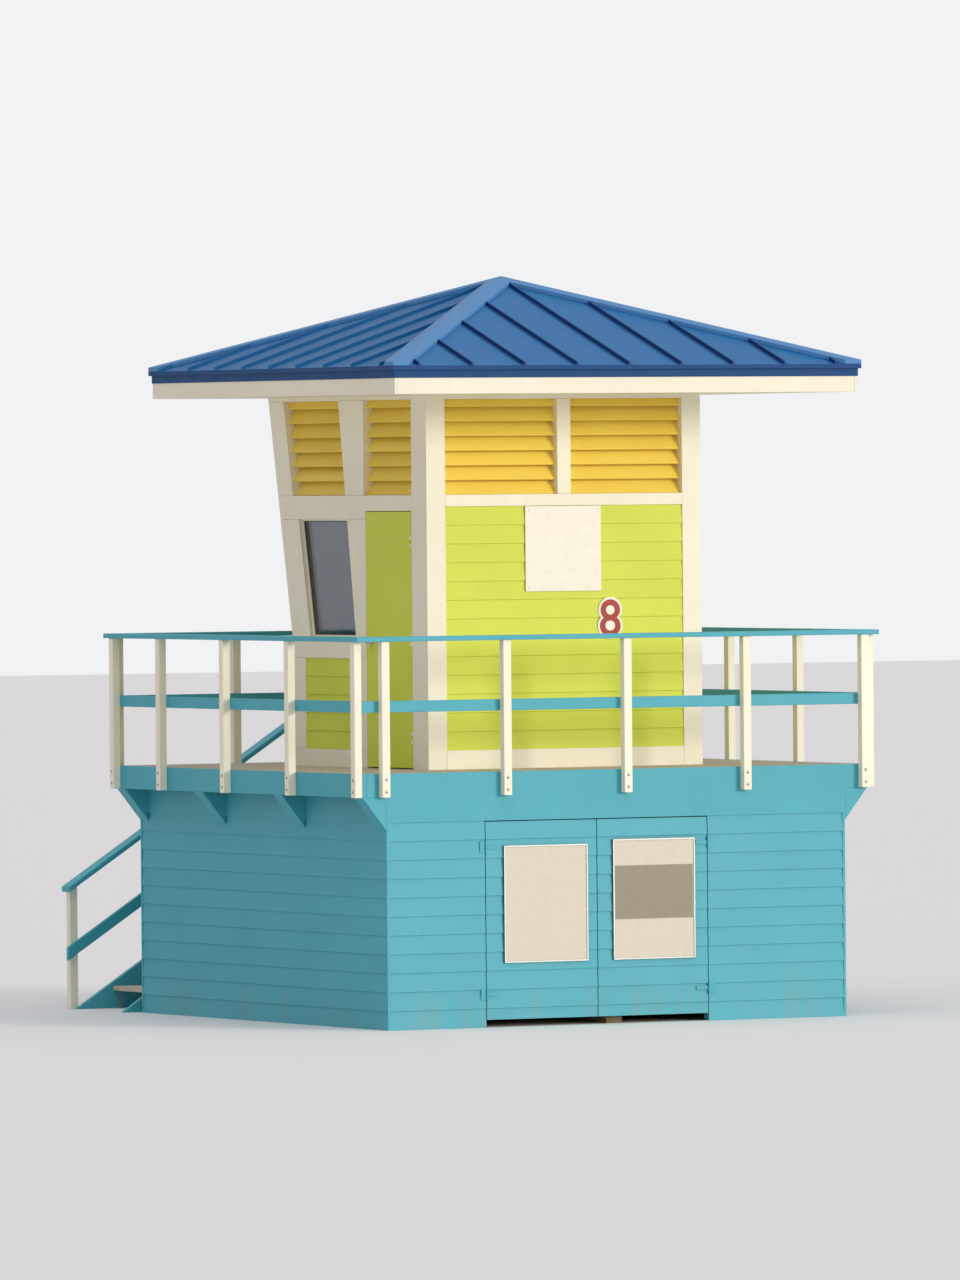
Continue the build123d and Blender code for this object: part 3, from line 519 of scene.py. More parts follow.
def board_rows_tree():
    """Rows of boards: the modifier's own mesh is one board that is a metre long, and every row is
    cut once at a place of its own, as joints fall on a real wall or deck."""
    add, given = geometry_tree(
        "board_rows", Rows="Int", Step="Vector", Length="Float", Jointed="Bool", Joint="Float",
        Least="Float", Most="Float", Seed="Int", Paint="Material",
    )
    line = add("GeometryNodeMeshLine", {"Count": given["Rows"], "Offset": given["Step"]})
    ends = {"Min": given["Least"], "Max": given["Most"]}
    share = add("FunctionNodeRandomValue", {**ends, "Seed": given["Seed"]})
    # Without a joint the first board takes the whole row
    whole = add(MATH, {0: 1.0, 1: given["Jointed"]}, operation="SUBTRACT")
    part = add(MATH, {0: share, 1: whole}, operation="MAXIMUM")
    first = add(MATH, {0: given["Length"], 1: part}, operation="MULTIPLY")
    start = add(MATH, {0: first, 1: given["Joint"]}, operation="ADD")
    rest = add(MATH, {0: given["Length"], 1: start}, operation="SUBTRACT")
    shift = add("ShaderNodeCombineXYZ", {"X": start})
    # Both boards of a row take their size from its point before that is moved
    kept = add("GeometryNodeCaptureAttribute", {"Geometry": line})
    for label, length in (("first", first), ("rest", rest)):
        kept.capture_items.new("VECTOR", label)
        size = add("ShaderNodeCombineXYZ", {"X": length, "Y": 1.0, "Z": 1.0})
        set_inputs(kept, {label: size})
    points = kept.outputs["Geometry"]
    moved = add("GeometryNodeSetPosition", {"Geometry": points, "Offset": shift})
    both = add("GeometryNodeJoinGeometry")
    for places, label, chosen in ((points, "first", True), (moved, "rest", given["Jointed"])):
        laid = {"Points": places, "Selection": chosen, "Scale": kept.outputs[label]}
        boards = add("GeometryNodeInstanceOnPoints", {**laid, "Instance": given["Geometry"]})
        set_inputs(both, {0: boards})
    index = add("GeometryNodeInputIndex")
    shade = add("FunctionNodeRandomValue", {"ID": index, "Seed": given["Seed"]})
    stored = {"Geometry": both, "Name": TONE, "Value": shade}
    toned = add("GeometryNodeStoreNamedAttribute", stored, domain="INSTANCE")
    return end_tree(add, toned, given["Paint"])


def fastener_tree():
    """Low domed heads on points, each turned to face along its own point's direction."""
    add, given = geometry_tree(
        "fasteners", Radius="Float", Rise="Float", Sides="Int", Finish="Material"
    )
    rings = add(MATH, {0: given["Sides"], 1: 2.0}, operation="DIVIDE")
    size = {"Segments": given["Sides"], "Rings": rings, "Radius": given["Radius"]}
    ball = add("GeometryNodeMeshUVSphere", size)
    squeeze = add(MATH, {0: given["Rise"], 1: given["Radius"]}, operation="DIVIDE")
    shape = add("ShaderNodeCombineXYZ", {"X": 1.0, "Y": 1.0, "Z": squeeze})
    facing = add("GeometryNodeInputNamedAttribute", {"Name": "facing"}, data_type="FLOAT_VECTOR")
    turn = add("FunctionNodeAlignRotationToVector", {"Vector": facing}, axis="Z")
    placed = {"Points": given["Geometry"], "Instance": ball, "Rotation": turn, "Scale": shape}
    heads = add("GeometryNodeInstanceOnPoints", placed)
    return end_tree(add, heads, given["Finish"])


board_rows = board_rows_tree()
fasteners = fastener_tree()


def grow(source, tree, **settings):
    """Runs a geometry tree on a mesh and returns the plain mesh that it makes."""
    carrier = add_object("carrier", source)
    modifier = carrier.modifiers.new("grow", "NODES")
    modifier.node_group = tree
    for item in tree.interface.items_tree:
        if item.in_out == "INPUT" and item.name in settings:
            modifier[item.identifier] = settings[item.name]
    return plain_mesh(carrier)


def rows_mesh(board, rows, step, length, joint, seed, paint):
    """Rows of a board, a step apart, each cut once where it is longer than the longest board."""
    least, most = JOINT_SHARES
    return grow(
        board, board_rows, Rows=rows, Step=step, Length=length, Jointed=length > LONGEST_BOARD,
        Joint=joint, Least=least, Most=most, Seed=seed, Paint=paint,
    )


# Heads of fasteners, each with its radius, rise and number of sides
SIGN_SCREW = (0.006, 0.003, 10)
FRAME_SCREW = (0.004, 0.002, 8)
COACH_BOLT = (0.013, 0.006, 12)
CAP_SCREW = (0.005, 0.0015, 8)
BOARD_SCREW = (0.0045, 0.001, 6)
HIP_RIVET = (0.006, 0.003, 8)


def add_heads(name, spots, head, finish, body="tower", slot="steel"):
    """Heads of screws, bolts or rivets at (place, direction) spots, as one piece."""
    mesh = bpy.data.meshes.new("spots")
    mesh.from_pydata([place for place, facing in spots], [], [])
    layer = mesh.attributes.new("facing", "FLOAT_VECTOR", "POINT")
    layer.data.foreach_set("vector", [c for place, facing in spots for c in facing])
    radius, rise, sides = head
    heads = grow(mesh, fasteners, Radius=radius, Rise=rise, Sides=sides, Finish=finish)
    make_piece(name, heads, finish, slot, body=body)


def lap_board(course):
    """One siding board, a metre long: thick at its lower edge, thin where the next covers it."""
    top = course + LAP_OVERLAP
    start = LAP_BUTT - LAP_EASING
    profile = ((0, 0), (start, 0), (LAP_BUTT, LAP_EASING), (LAP_FEATHER, top), (0, top))
    bm = bmesh.new()
    near, far = [[bm.verts.new((x, y, z)) for y, z in profile] for x in (0, 1)]
    bm.faces.new(near)
    bm.faces.new(far[::-1])
    for i in range(len(profile)):
        j = (i + 1) % len(profile)
        bm.faces.new((near[i], far[i], far[j], near[j]))
    bmesh.ops.recalc_face_normals(bm, faces=bm.faces)
    return mesh_of(bm)


def on_wall(outward, along, face, level):
    """Board space, X along the wall, Y out of it and Z up, set on a wall between two places."""
    run = outward.cross(UP)
    axis = 0 if run.x else 1
    origin = Vector((0, 0, level))
    origin[axis] = along[0] if run[axis] > 0 else along[1]
    origin[1 - axis] = face
    return Matrix.Translation(origin) @ Matrix((run, outward, UP)).transposed().to_4x4()


def trimmed(mesh, *planes):
    """A mesh cut off at planes, each given by a point and the direction that is kept."""
    bm = bmesh.new()
    bm.from_mesh(mesh)
    for point, kept in planes:
        cut_away(bm, point, kept)
    bm.to_mesh(mesh)
    bm.free()
    return mesh


def siding_mesh(outward, along, face, low, high, courses, paint, seed):
    """Lap siding over a rectangle of a wall, cut off level at its top."""
    course = (high - low) / courses
    board = lap_board(course)
    length = along[1] - along[0]
    mesh = rows_mesh(board, courses, (0, 0, course), length, LAP_JOINT, seed, paint)
    mesh.transform(on_wall(outward, along, face, low))
    return trimmed(mesh, ((0, 0, high), -UP))


def join_meshes(*meshes):
    """One mesh from several, with their own shades kept."""
    whole = bmesh.new()
    tone = whole.verts.layers.float.new(TONE)
    for mesh in meshes:
        part = bmesh.new()
        part.from_mesh(mesh)
        source = part.verts.layers.float.get(TONE)
        made = [whole.verts.new(v.co) for v in part.verts]
        for old, new in zip(part.verts, made):
            new[tone] = old[source] if source else 0.5
        for face in part.faces:
            whole.faces.new([made[v.index] for v in face.verts])
        part.free()
    return mesh_of(whole)


def block_mesh(low, high, easing=0.0):
    """A block between two corners, with its edges rounded."""
    bm = bmesh.new()
    add_block(bm, low, high)
    if easing:
        ease_edges(bm, easing)
    return mesh_of(bm)


def solid_boxes(node):
    """The low and high corners of each separate solid of a CAD node."""
    bm = node_copy(node)
    boxes = [
        tuple(Vector([pick(v.co[i] for v in part) for i in range(3)]) for pick in (min, max))
        for part in islands(bm)
    ]
    bm.free()
    return boxes


def face_outlines(node, towards):
    """The outlines and normals of a node's broad faces that look in a direction."""
    bm = node_copy(node)
    outlines = [
        ([v.co.copy() for v in f.verts], f.normal.copy())
        for f in bm.faces
        if f.normal.dot(towards) > FACING and f.calc_area() > BROAD_PANE
    ]
    bm.free()
    return outlines


def drawn_in(outline, normal, width):
    """An outline drawn in by one width all round."""
    inner = []
    for i, corner in enumerate(outline):
        before = normal.cross((corner - outline[i - 1]).normalized())
        after = normal.cross((outline[(i + 1) % len(outline)] - corner).normalized())
        inner.append(corner + (before + after) * (width / (1 + before.dot(after))))
    return inner


def ring_mesh(outline, normal, width, rise, sink, easing=0.0015):
    """A frame inside an outline, between two depths along its normal."""
    count = len(outline)
    inner = drawn_in(outline, normal, width)
    bm = bmesh.new()
    loops = [
        [bm.verts.new(p + normal * depth) for p in points]
        for points, depth in ((outline, rise), (inner, rise), (inner, -sink), (outline, -sink))
    ]
    for one, two in zip(loops, loops[1:] + loops[:1]):
        for i in range(count):
            j = (i + 1) % count
            bm.faces.new((one[i], one[j], two[j], two[i]))
    bmesh.ops.recalc_face_normals(bm, faces=bm.faces)
    ease_edges(bm, easing)
    return mesh_of(bm)


# Store room walls: a sheathed core, lap siding up to the door heads and a smooth frieze board
front_low, front_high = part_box("base_front_wall")
header_low, header_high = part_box("base_back_header")
BASE_LOW = Vector((front_low.x, front_low.y, 0))
BASE_HIGH = Vector((front_high.x, header_high.y, front_high.z))


def clad_wall(node, outward, seed, siding=True):
    """A store wall with its siding flush with the wall's outer face and clear of the corner
    beads, and bare plywood on its room side."""
    low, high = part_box(node)
    core_low, core_high = low.copy(), high.copy()
    for axis in (0, 1):
        if high[axis] > BASE_HIGH[axis] - NEAR:
            core_high[axis] -= LAP_BUTT
        if low[axis] < BASE_LOW[axis] + NEAR:
            core_low[axis] += LAP_BUTT
    axis = 0 if outward.y else 1
    first = max(low[axis], BASE_LOW[axis] + CORNER_BEAD)
    last = min(high[axis], BASE_HIGH[axis] - CORNER_BEAD)
    if axis == 1:
        first, last = BASE_LOW.y + CORNER_BEAD, BASE_HIGH.y - CORNER_BEAD
    face = (BASE_HIGH if max(outward) > 0 else BASE_LOW)[1 - axis]
    inner_face = face - outward[1 - axis] * LAP_BUTT
    frieze_low, frieze_high = Vector((0, 0, FRIEZE_FOOT)), Vector((0, 0, high.z))
    frieze_low[axis], frieze_high[axis] = first, last
    frieze_low[1 - axis], frieze_high[1 - axis] = sorted((face, inner_face))
    parts = [block_mesh(core_low, core_high), block_mesh(frieze_low, frieze_high, FINE_EASING)]
    if siding:
        rows = (low.z, FRIEZE_FOOT, BASE_COURSES)
        along = (first, last)
        parts.append(siding_mesh(outward, along, inner_face, *rows, turquoise_level, seed))
    whole = join_meshes(*parts)
    obj = make_piece(f"{node}_clad", whole, turquoise_level, "turquoise_paint", node)
    obj.data.materials.append(plywood)
    for polygon in obj.data.polygons:
        if polygon.normal.dot(outward) < -FACING and polygon.area > BROAD_WALL:
            polygon.material_index = 1


clad_wall("base_front_wall", FRONT, 11)
clad_wall("base_left_wall", LEFT, 12)
clad_wall("base_right_wall", RIGHT, 13)
clad_wall("base_back_wall_left", BACK, 14)
clad_wall("base_back_wall_right", BACK, 15)
clad_wall("base_back_header", BACK, 16, siding=False)

corner_beads = bmesh.new()
for x, inward_x in ((BASE_LOW.x, 1), (BASE_HIGH.x, -1)):
    for y, inward_y in ((BASE_LOW.y, 1), (BASE_HIGH.y, -1)):
        xs = sorted((x, x + inward_x * CORNER_BEAD))
        ys = sorted((y, y + inward_y * CORNER_BEAD))
        add_block(corner_beads, (xs[0], ys[0], 0), (xs[1], ys[1], BASE_HIGH.z))
ease_edges(corner_beads, EASING)
make_piece("corner_beads", mesh_of(corner_beads), turquoise_upright, "turquoise_paint")


def node_beyond(node, point, normal):
    """What a CAD node has beyond a plane, closed where it is cut."""
    bm = node_copy(node)
    cut_away(bm, point, normal)
    return mesh_of(bm)


# Store doors: a core with siding in line with the walls beside it, the hinge straps over it, and
# two ledges with a brace inside
DOOR_GAP = 0.008
STRAP_SEAT = 0.0001
DOOR_LEDGE = 0.019
LEDGE_WIDTH = 0.12
LEDGE_INSET = 0.07
LOW_LEDGE, HIGH_LEDGE = 0.22, 1.36
BRACE_SPARE = 0.3


def door_ledges(low, high, hinge_high):
    """Two level ledges and a brace that rises from the hinge side, on the inside of a leaf."""
    near, far = low.x + LEDGE_INSET, high.x - LEDGE_INSET
    inner, face = low.y - DOOR_LEDGE, low.y
    boards = [
        block_mesh((near, inner, level), (far, face, level + LEDGE_WIDTH), EASING)
        for level in (LOW_LEDGE, HIGH_LEDGE)
    ]
    foot, head = (far, near) if hinge_high else (near, far)
    start = Vector((foot, 0, LOW_LEDGE + LEDGE_WIDTH))
    run = Vector((head, 0, HIGH_LEDGE)) - start
    half = LEDGE_WIDTH / 2
    # The brace is longer than its run at both ends and is cut to fit between the ledges
    brace = block_mesh((-BRACE_SPARE, inner, -half), (run.length + BRACE_SPARE, face, half))
    lean = Matrix.Rotation(-math.atan2(run.z, run.x), 4, "Y")
    brace.transform(Matrix.Translation(start) @ lean)
    trimmed(
        brace,
        ((near, 0, 0), LEFT),
        ((far, 0, 0), RIGHT),
        (start + UP * BUTT_JOINT, UP),
        ((0, 0, HIGH_LEDGE - BUTT_JOINT), -UP),
    )
    return boards + [brace]


def clad_door(node, along, seed):
    """A store door's leaf in its siding, with its straps, ledges and brace."""
    low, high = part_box(node)
    leaf_low = Vector((along[0], low.y, low.z))
    leaf_high = Vector((along[1], BASE_HIGH.y - LAP_BUTT, high.z))
    rows = (0.0, FRIEZE_FOOT, BASE_COURSES)
    siding = siding_mesh(BACK, along, leaf_high.y, *rows, turquoise_level, seed)
    trimmed(siding, (high, -UP), (low, UP))
    straps = node_beyond(node, (0, BASE_HIGH.y + STRAP_SEAT, 0), BACK)
    ledges = door_ledges(leaf_low, leaf_high, high.x > along[1] + NEAR)
    leaf = block_mesh(leaf_low, leaf_high, FINE_EASING)
    whole = join_meshes(leaf, siding, straps, *ledges)
    make_piece(f"{node}_clad", whole, turquoise_level, "turquoise_paint", node, body=f"{node}_leaf")


seam = (header_low.x + header_high.x) / 2
clad_door("store_door_left", (seam + DOOR_GAP / 2, header_high.x - DOOR_GAP), 21)
clad_door("store_door_right", (header_low.x + DOOR_GAP, seam - DOOR_GAP / 2), 22)


def cabin_siding(name, outward, along, face, field, seed):
    """Lime siding in one field of a cabin wall."""
    low, high = DECK_TOP + field[0], DECK_TOP + field[1]
    courses = round((high - low) / CABIN_COURSE)
    mesh = siding_mesh(outward, along, face, low, high, courses, lime_level, seed)
    make_piece(name, mesh, lime_level, "lime_paint")


corner_x = SIDE_FACE - CORNER_BOARD
field_x = (-corner_x, corner_x)
lower_y = (BACK_FACE - LOWER_FIELD_SPAN[1], BACK_FACE - LOWER_FIELD_SPAN[0])
rear_y = (BACK_FACE - REAR_FIELD_SPAN[1], BACK_FACE - REAR_FIELD_SPAN[0])
cabin_siding("back_siding", BACK, field_x, BACK_FACE, BACK_FIELD, 31)
cabin_siding("front_siding", FRONT, field_x, FRONT_FACE, LOWER_FIELD, 32)
cabin_siding("left_siding", LEFT, lower_y, SIDE_FACE, LOWER_FIELD, 33)
cabin_siding("right_siding", RIGHT, lower_y, -SIDE_FACE, LOWER_FIELD, 34)
cabin_siding("right_rear_siding", RIGHT, rear_y, -SIDE_FACE, REAR_FIELD, 35)

# Timber whose form is already in the frame, with its arrises rounded
posts = [f"{side}_rail_posts" for side in SIDES] + ["stair_posts"]
rails = [f"{side}_rails" for side in SIDES] + ["stair_rails"]
carriers = ["stair_stringers", "landing_frame", "deck_brackets"]
louvres = [f"{side}_louvres" for side in SIDES]
for nodes, paint, slot, width, shortest in (
    (posts, cream_upright, "cream_paint", WIDE_EASING, SHORTEST_ARRIS),
    (rails, turquoise_level, "turquoise_paint", WIDE_EASING, SHORTEST_ARRIS),
    (carriers, turquoise_level, "turquoise_paint", EASING, SHORTEST_ARRIS),
    (louvres, yellow_level, "yellow_paint", EASING, 0.2),
):
    for node in nodes:
        eased_node(node, paint, slot, width, shortest, seed=len(node))
eased_node("treads", deck_y, "deck_timber", TREAD_EASING, seed=3)
eased_node("cabin_door", lime_upright, "lime_paint", shortest=0.3, body="cabin_door_leaf")


def sawn_boards(node, boards, material, slot):
    """Flat boards in place of a node, with their joints, rounded arrises and own shades."""
    meshes = []
    for number, board in enumerate(boards):
        join_triangles(board)
        ease_edges(board, FINE_EASING, 0.1)
        meshes.append(toned_mesh(board, number))
    make_piece(f"{node}_sawn", join_meshes(*meshes), material, slot, node)


# Trim boards: corner boards that run through, and level boards between them that end at the
# edges of the louvres, windows and fields
TRIM_LEVELS = [DECK_TOP + height for height in (2.92, 2.166, 1.976, 1.04, 0.868, 0.14)]
LOUVRE_LEVELS = TRIM_LEVELS[:2]
SILL_LEVEL = TRIM_LEVELS[3]
back_trim, others = saw(node_triangles("cabin_trim"), 1, BACK_FACE)
left_trim, others = saw(others, 0, SIDE_FACE)
front_trim, right_trim = saw(others, 0, -SIDE_FACE)
one_corner, middle, other_corner = crosscut(back_trim, 0, corner_x, -corner_x)
trim_boards = [one_corner, other_corner] + crosscut(middle, 2, *LOUVRE_LEVELS)
for side_trim in (left_trim, right_trim):
    rear_board, others = saw(side_trim, 1, BACK_FACE - REAR_FIELD_SPAN[0])
    trim_boards += [rear_board] + crosscut(others, 2, *TRIM_LEVELS)
one_corner, middle, other_corner = crosscut(front_trim, 0, corner_x, -corner_x)
trim_boards += crosscut(one_corner, 2, SILL_LEVEL) + crosscut(other_corner, 2, SILL_LEVEL)
trim_boards += crosscut(middle, 2, *TRIM_LEVELS)
sawn_boards("cabin_trim", trim_boards, cream_level, "cream_paint")

# Fascia and deck rim, butted at their corners
FASCIA_BOARD = 0.025
RIM_BOARD = 0.038
for node, thickness, paint, slot in (
    ("fascia", FASCIA_BOARD, cream_fascia, "cream_paint"),
    ("deck_rim", RIM_BOARD, turquoise_level, "turquoise_paint"),
):
    low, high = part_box(node)
    boards = crosscut(node_triangles(node), 0, high.x - thickness, low.x + thickness)
    sawn_boards(node, boards, paint, slot)


def plank(thickness, width):
    """One deck board, a metre long, with rounded upper arrises."""
    bm = bmesh.new()
    add_block(bm, (0, 0, 0), (1, width, thickness))
    edges = [e for e in bm.edges if all(v.co.z > 0 for v in e.verts) and e.calc_length() == 1]
    round_edges(bm, edges, WIDE_EASING)
    return mesh_of(bm)


# Deck boards laid across the joists, the landing's boards across its own, and the soffit
DECK_PITCH = 0.144
DECK_GAP = 0.006
SOFFIT_PITCH = 0.102
SOFFIT_GAP = 0.004


def fitted_rows(width, pitch, gap):
    """How many boards fill a width, and the distance from one to the next."""
    rows = round(width / pitch)
    return rows, (width + gap) / rows


def decking(node, along_y, paint, seed, pitch=DECK_PITCH, gap=DECK_GAP, slot="deck_timber"):
    """Boards that fill a node's own box, laid along Y or along X."""
    low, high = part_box(node)
    size = high - low
    run, width = (size.y, size.x) if along_y else (size.x, size.y)
    rows, step = fitted_rows(width, pitch, gap)
    board = plank(size.z, step - gap)
    mesh = rows_mesh(board, rows, (0, step, 0), run, DECK_JOINT, seed, paint)
    if along_y:
        turn = Matrix.Rotation(math.radians(90), 4, "Z")
        mesh.transform(Matrix.Translation((high.x, low.y, low.z)) @ turn)
    else:
        mesh.transform(Matrix.Translation(low))
    make_piece(f"{node}_laid", mesh, paint, slot, node)


decking("deck_boards", True, deck_y, 41)
decking("landing_boards", False, deck_x, 42)
decking("soffit", True, cream_level, 43, SOFFIT_PITCH, SOFFIT_GAP, "cream_paint")

# Nodes that keep their own mesh and only take a finish
plain_finish = {
    rough_level: ("skids", "deck_joists"),
    deck_x: ("store_floor",),
    cream_level: (
        "cabin_back_wall", "cabin_left_wall_rear", "cabin_left_door_head", "cabin_left_wall_front",
        "cabin_left_window_frame", "cabin_right_wall_rear", "cabin_right_wall_front",
        "cabin_right_window_frame", "cabin_front_wall", "cabin_front_frame",
    ),
    glass: ("left_window_glass", "right_window_glass", "front_window_glass"),
}
for material, nodes in plain_finish.items():
    for node in nodes:
        set_finish(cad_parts[node].data, material)

# Roof sheets and hip caps with their folds rounded, and the lever handle
for side in SIDES:
    sheet = seam_shaded_sheet if side in ("back", "front") else roof_sheet
    eased_node(f"roof_slope_{side}", sheet, "roof_blue", FINE_EASING, 0.15)
eased_node("hip_caps", hip_highlight_sheet, "hip_cap_blue", WIDE_EASING, 0.1)
eased_node("cabin_door_handle", steel, "steel", FINE_EASING, 0.0, body="cabin_door_leaf")

# Wall halves of the hinges, painted over with the wall
for name, kept, paint, slot in (
    ("cabin_hinge_plates", UP, cream_upright, "cream_paint"),
    ("store_hinge_plates", -UP, turquoise_upright, "turquoise_paint"),
):
    plates = node_beyond("hinge_plates", (0, 0, DECK_TOP), kept)
    make_piece(name, plates, paint, slot, "hinge_plates")

# Window sashes round the glass, narrow cream frames that hold it from both sides, with a rubber
# gasket against the glass. Each has its width, rise over the glass and sink beside it.
SASH = (0.012, 0.012, 0.026)
GASKET = (0.006, 0.003, 0.011)
for side in ("left", "right", "front"):
    node = f"{side}_window_glass"
    sashes, seals = [], []
    for outline, normal in face_outlines(node, SIDES[side]):
        sashes.append(ring_mesh(outline, normal, *SASH))
        inner = drawn_in(outline, normal, SASH[0])
        seals.append(ring_mesh(inner, normal, *GASKET, THIN_EASING))
    make_piece(f"{node}_sash", join_meshes(*sashes), cream_level, "cream_paint")
    make_piece(f"{node}_gasket", join_meshes(*seals), gasket, "window_glass")


def corner_spots(low, high, inset):
    """Spots at the four corners of a panel's outer face, drawn in by an inset."""
    return [
        (Vector((x, high.y, z)), BACK)
        for x in (low.x + inset, high.x - inset)
        for z in (low.z + inset, high.z - inset)
    ]


# Blank sign on the back wall
SIGN_LOW = Vector((-0.325, BACK_FACE + 0.0145, DECK_TOP + 1.396))
SIGN_HIGH = Vector((0.355, BACK_FACE + 0.0225, DECK_TOP + 2.07))
sign = block_mesh(SIGN_LOW, SIGN_HIGH, FINE_EASING)
make_piece("back_sign", sign, sign_enamel, "cream_paint")
add_heads("back_sign_screws", corner_spots(SIGN_LOW, SIGN_HIGH, 0.03), SIGN_SCREW, steel)

# Station number on the back wall: a red figure on a pale backing of its outer outline. How far
# the outlines are spread is a share of the type size, and the other sizes are in metres.
STATION_NUMBER = "8"
FIGURE_HEIGHT = 0.285
FIGURE_PLACE = Vector((-0.407, BACK_FACE + LAP_BUTT, DECK_TOP + 1.178))
FIGURE_SPREAD = 0.01
FIGURE_THICKNESS = 0.002
FIGURE_RISE = 0.004
BACKING_SPREAD = 0.058
BACKING_THICKNESS = 0.0025
BACKING_RISE = 0.0005


def number_mesh(spread, thickness=0.0):
    """The station number in its own plane, grown outwards by spread."""
    curve = bpy.data.curves.new("figure", "FONT")
    curve.body = STATION_NUMBER
    curve.offset = spread
    curve.extrude = thickness / 2
    return plain_mesh(add_object("figure", curve))


def closed_plate(flat, thickness):
    """A plate in the outer outline of a flat mesh, with the holes in it closed."""
    bm = bmesh.new()
    bm.from_mesh(flat)
    bmesh.ops.remove_doubles(bm, verts=bm.verts, dist=MERGED)
    holes = {e for e in bm.edges if e.is_boundary}
    stack = [max(bm.verts, key=lambda v: v.co.y)]
    while stack:
        for edge in stack.pop().link_edges:
            if edge in holes:
                holes.remove(edge)
                stack += edge.verts
    bmesh.ops.holes_fill(bm, edges=list(holes))
    made = bmesh.ops.extrude_face_region(bm, geom=bm.faces[:])
    raised = [v for v in made["geom"] if isinstance(v, bmesh.types.BMVert)]
    bmesh.ops.translate(bm, verts=raised, vec=(0, 0, thickness))
    bmesh.ops.recalc_face_normals(bm, faces=bm.faces)
    for face in bm.faces:
        face.smooth = False
    return mesh_of(bm)


plain = number_mesh(0.0)
span = [[v.co[i] for v in plain.vertices] for i in (0, 1)]
centre = Vector([(min(s) + max(s)) / 2 for s in span] + [0])
number_scale = FIGURE_HEIGHT / (max(span[1]) - min(span[1]))
backing = closed_plate(number_mesh(BACKING_SPREAD), BACKING_THICKNESS / number_scale)
figure = number_mesh(FIGURE_SPREAD, FIGURE_THICKNESS / number_scale)
upright = Matrix(((-1, 0, 0), (0, 0, 1), (0, 1, 0))).to_4x4()
for name, mesh, rise, enamel in (
    ("number_backing", backing, BACKING_RISE, sign_enamel),
    ("number_figure", figure, FIGURE_RISE, red_enamel),
):
    mesh.transform(
        Matrix.Translation(FIGURE_PLACE + BACK * rise)
        @ upright
        @ Matrix.Scale(number_scale, 4)
        @ Matrix.Translation(-centre)
    )
    make_piece(name, mesh, enamel, "cream_paint")

# Notice boards on the store doors, measured out from the doors' face
NOTICE_BACK, NOTICE_FACE = 0.001, 0.009
NOTICE_FRAME = 0.014
PANEL_INSET = 0.022
PANEL_FACE = 0.012


def notice_board(side, low_x, high_x, low_z, high_z, panel=None):
    """A blank enamelled board in a narrow metal frame, with a grey panel between two heights."""
    name, body = f"{side}_notice_board", f"store_door_{side}_leaf"
    face = BASE_HIGH.y
    low = Vector((low_x, face + NOTICE_BACK, low_z))
    high = Vector((high_x, face + NOTICE_FACE, high_z))
    make_piece(name, block_mesh(low, high), board_enamel, "cream_paint", body=body)
    corners = ((high_x, low_z), (low_x, low_z), (low_x, high_z), (high_x, high_z))
    outline = [Vector((x, face, z)) for x, z in corners]
    rim = ring_mesh(outline, BACK, NOTICE_FRAME, NOTICE_FRAME, 0.0)
    make_piece(f"{name}_frame", rim, zinc, "steel", body=body)
    if panel:
        panel_low = Vector((low_x + PANEL_INSET, high.y, panel[0]))
        panel_high = Vector((high_x - PANEL_INSET, face + PANEL_FACE, panel[1]))
        mesh = block_mesh(panel_low, panel_high, THIN_EASING)
        make_piece(f"{name}_panel", mesh, grey_enamel, "cream_paint", body=body)
    high.y = face + NOTICE_FRAME
    spots = corner_spots(low, high, NOTICE_FRAME / 2)
    add_heads(f"{name}_screws", spots, FRAME_SCREW, steel, body)


notice_board("left", 0.28, 1.03, 0.50, 1.42)
notice_board("right", -0.685, 0.055, 0.50, 1.45, (0.82, 1.24))

# Coach bolts that hold the rail posts to the rim, and screws down through the cap rails
RAIL_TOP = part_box("back_rails")[1].z
BOLT_HEIGHTS = (0.045, 0.139)
CAP_SCREW_OFFSET = 0.018
bolts = []
cap_screws = []
for side, outward in SIDES.items():
    axis = 0 if outward.x else 1
    for low, high in solid_boxes(f"{side}_rail_posts"):
        place = (low + high) / 2
        for step in (-CAP_SCREW_OFFSET, CAP_SCREW_OFFSET):
            spot = place.copy()
            spot[1 - axis] += step
            spot.z = RAIL_TOP
            cap_screws.append((spot, UP))
        place[axis] = high[axis] if outward[axis] > 0 else low[axis]
        for height in BOLT_HEIGHTS:
            bolts.append((Vector((place.x, place.y, low.z + height)), outward))
add_heads("post_bolts", bolts, COACH_BOLT, zinc)
add_heads("cap_screws", cap_screws, CAP_SCREW, zinc)

# Deck screws over every joist, and screws at the ends of the treads
SCREW_OFFSET = 0.04
TREAD_SHARES = (0.2, 0.5, 0.8)
TREAD_INSET = 0.02
deck_low, deck_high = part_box("deck_boards")
rows, step = fitted_rows(deck_high.x - deck_low.x, DECK_PITCH, DECK_GAP)
board_screws = [
    (Vector((deck_high.x - (row + 0.5) * step + offset, (low.y + high.y) / 2, DECK_TOP)), UP)
    for low, high in solid_boxes("deck_joists")
    for row in range(rows)
    for offset in (-SCREW_OFFSET, SCREW_OFFSET)
]
board_screws += [
    (Vector((low.x + share * (high.x - low.x), y, high.z)), UP)
    for low, high in solid_boxes("treads")
    for share in TREAD_SHARES
    for y in (low.y + TREAD_INSET, high.y - TREAD_INSET)
]
add_heads("board_screws", board_screws, BOARD_SCREW, zinc)

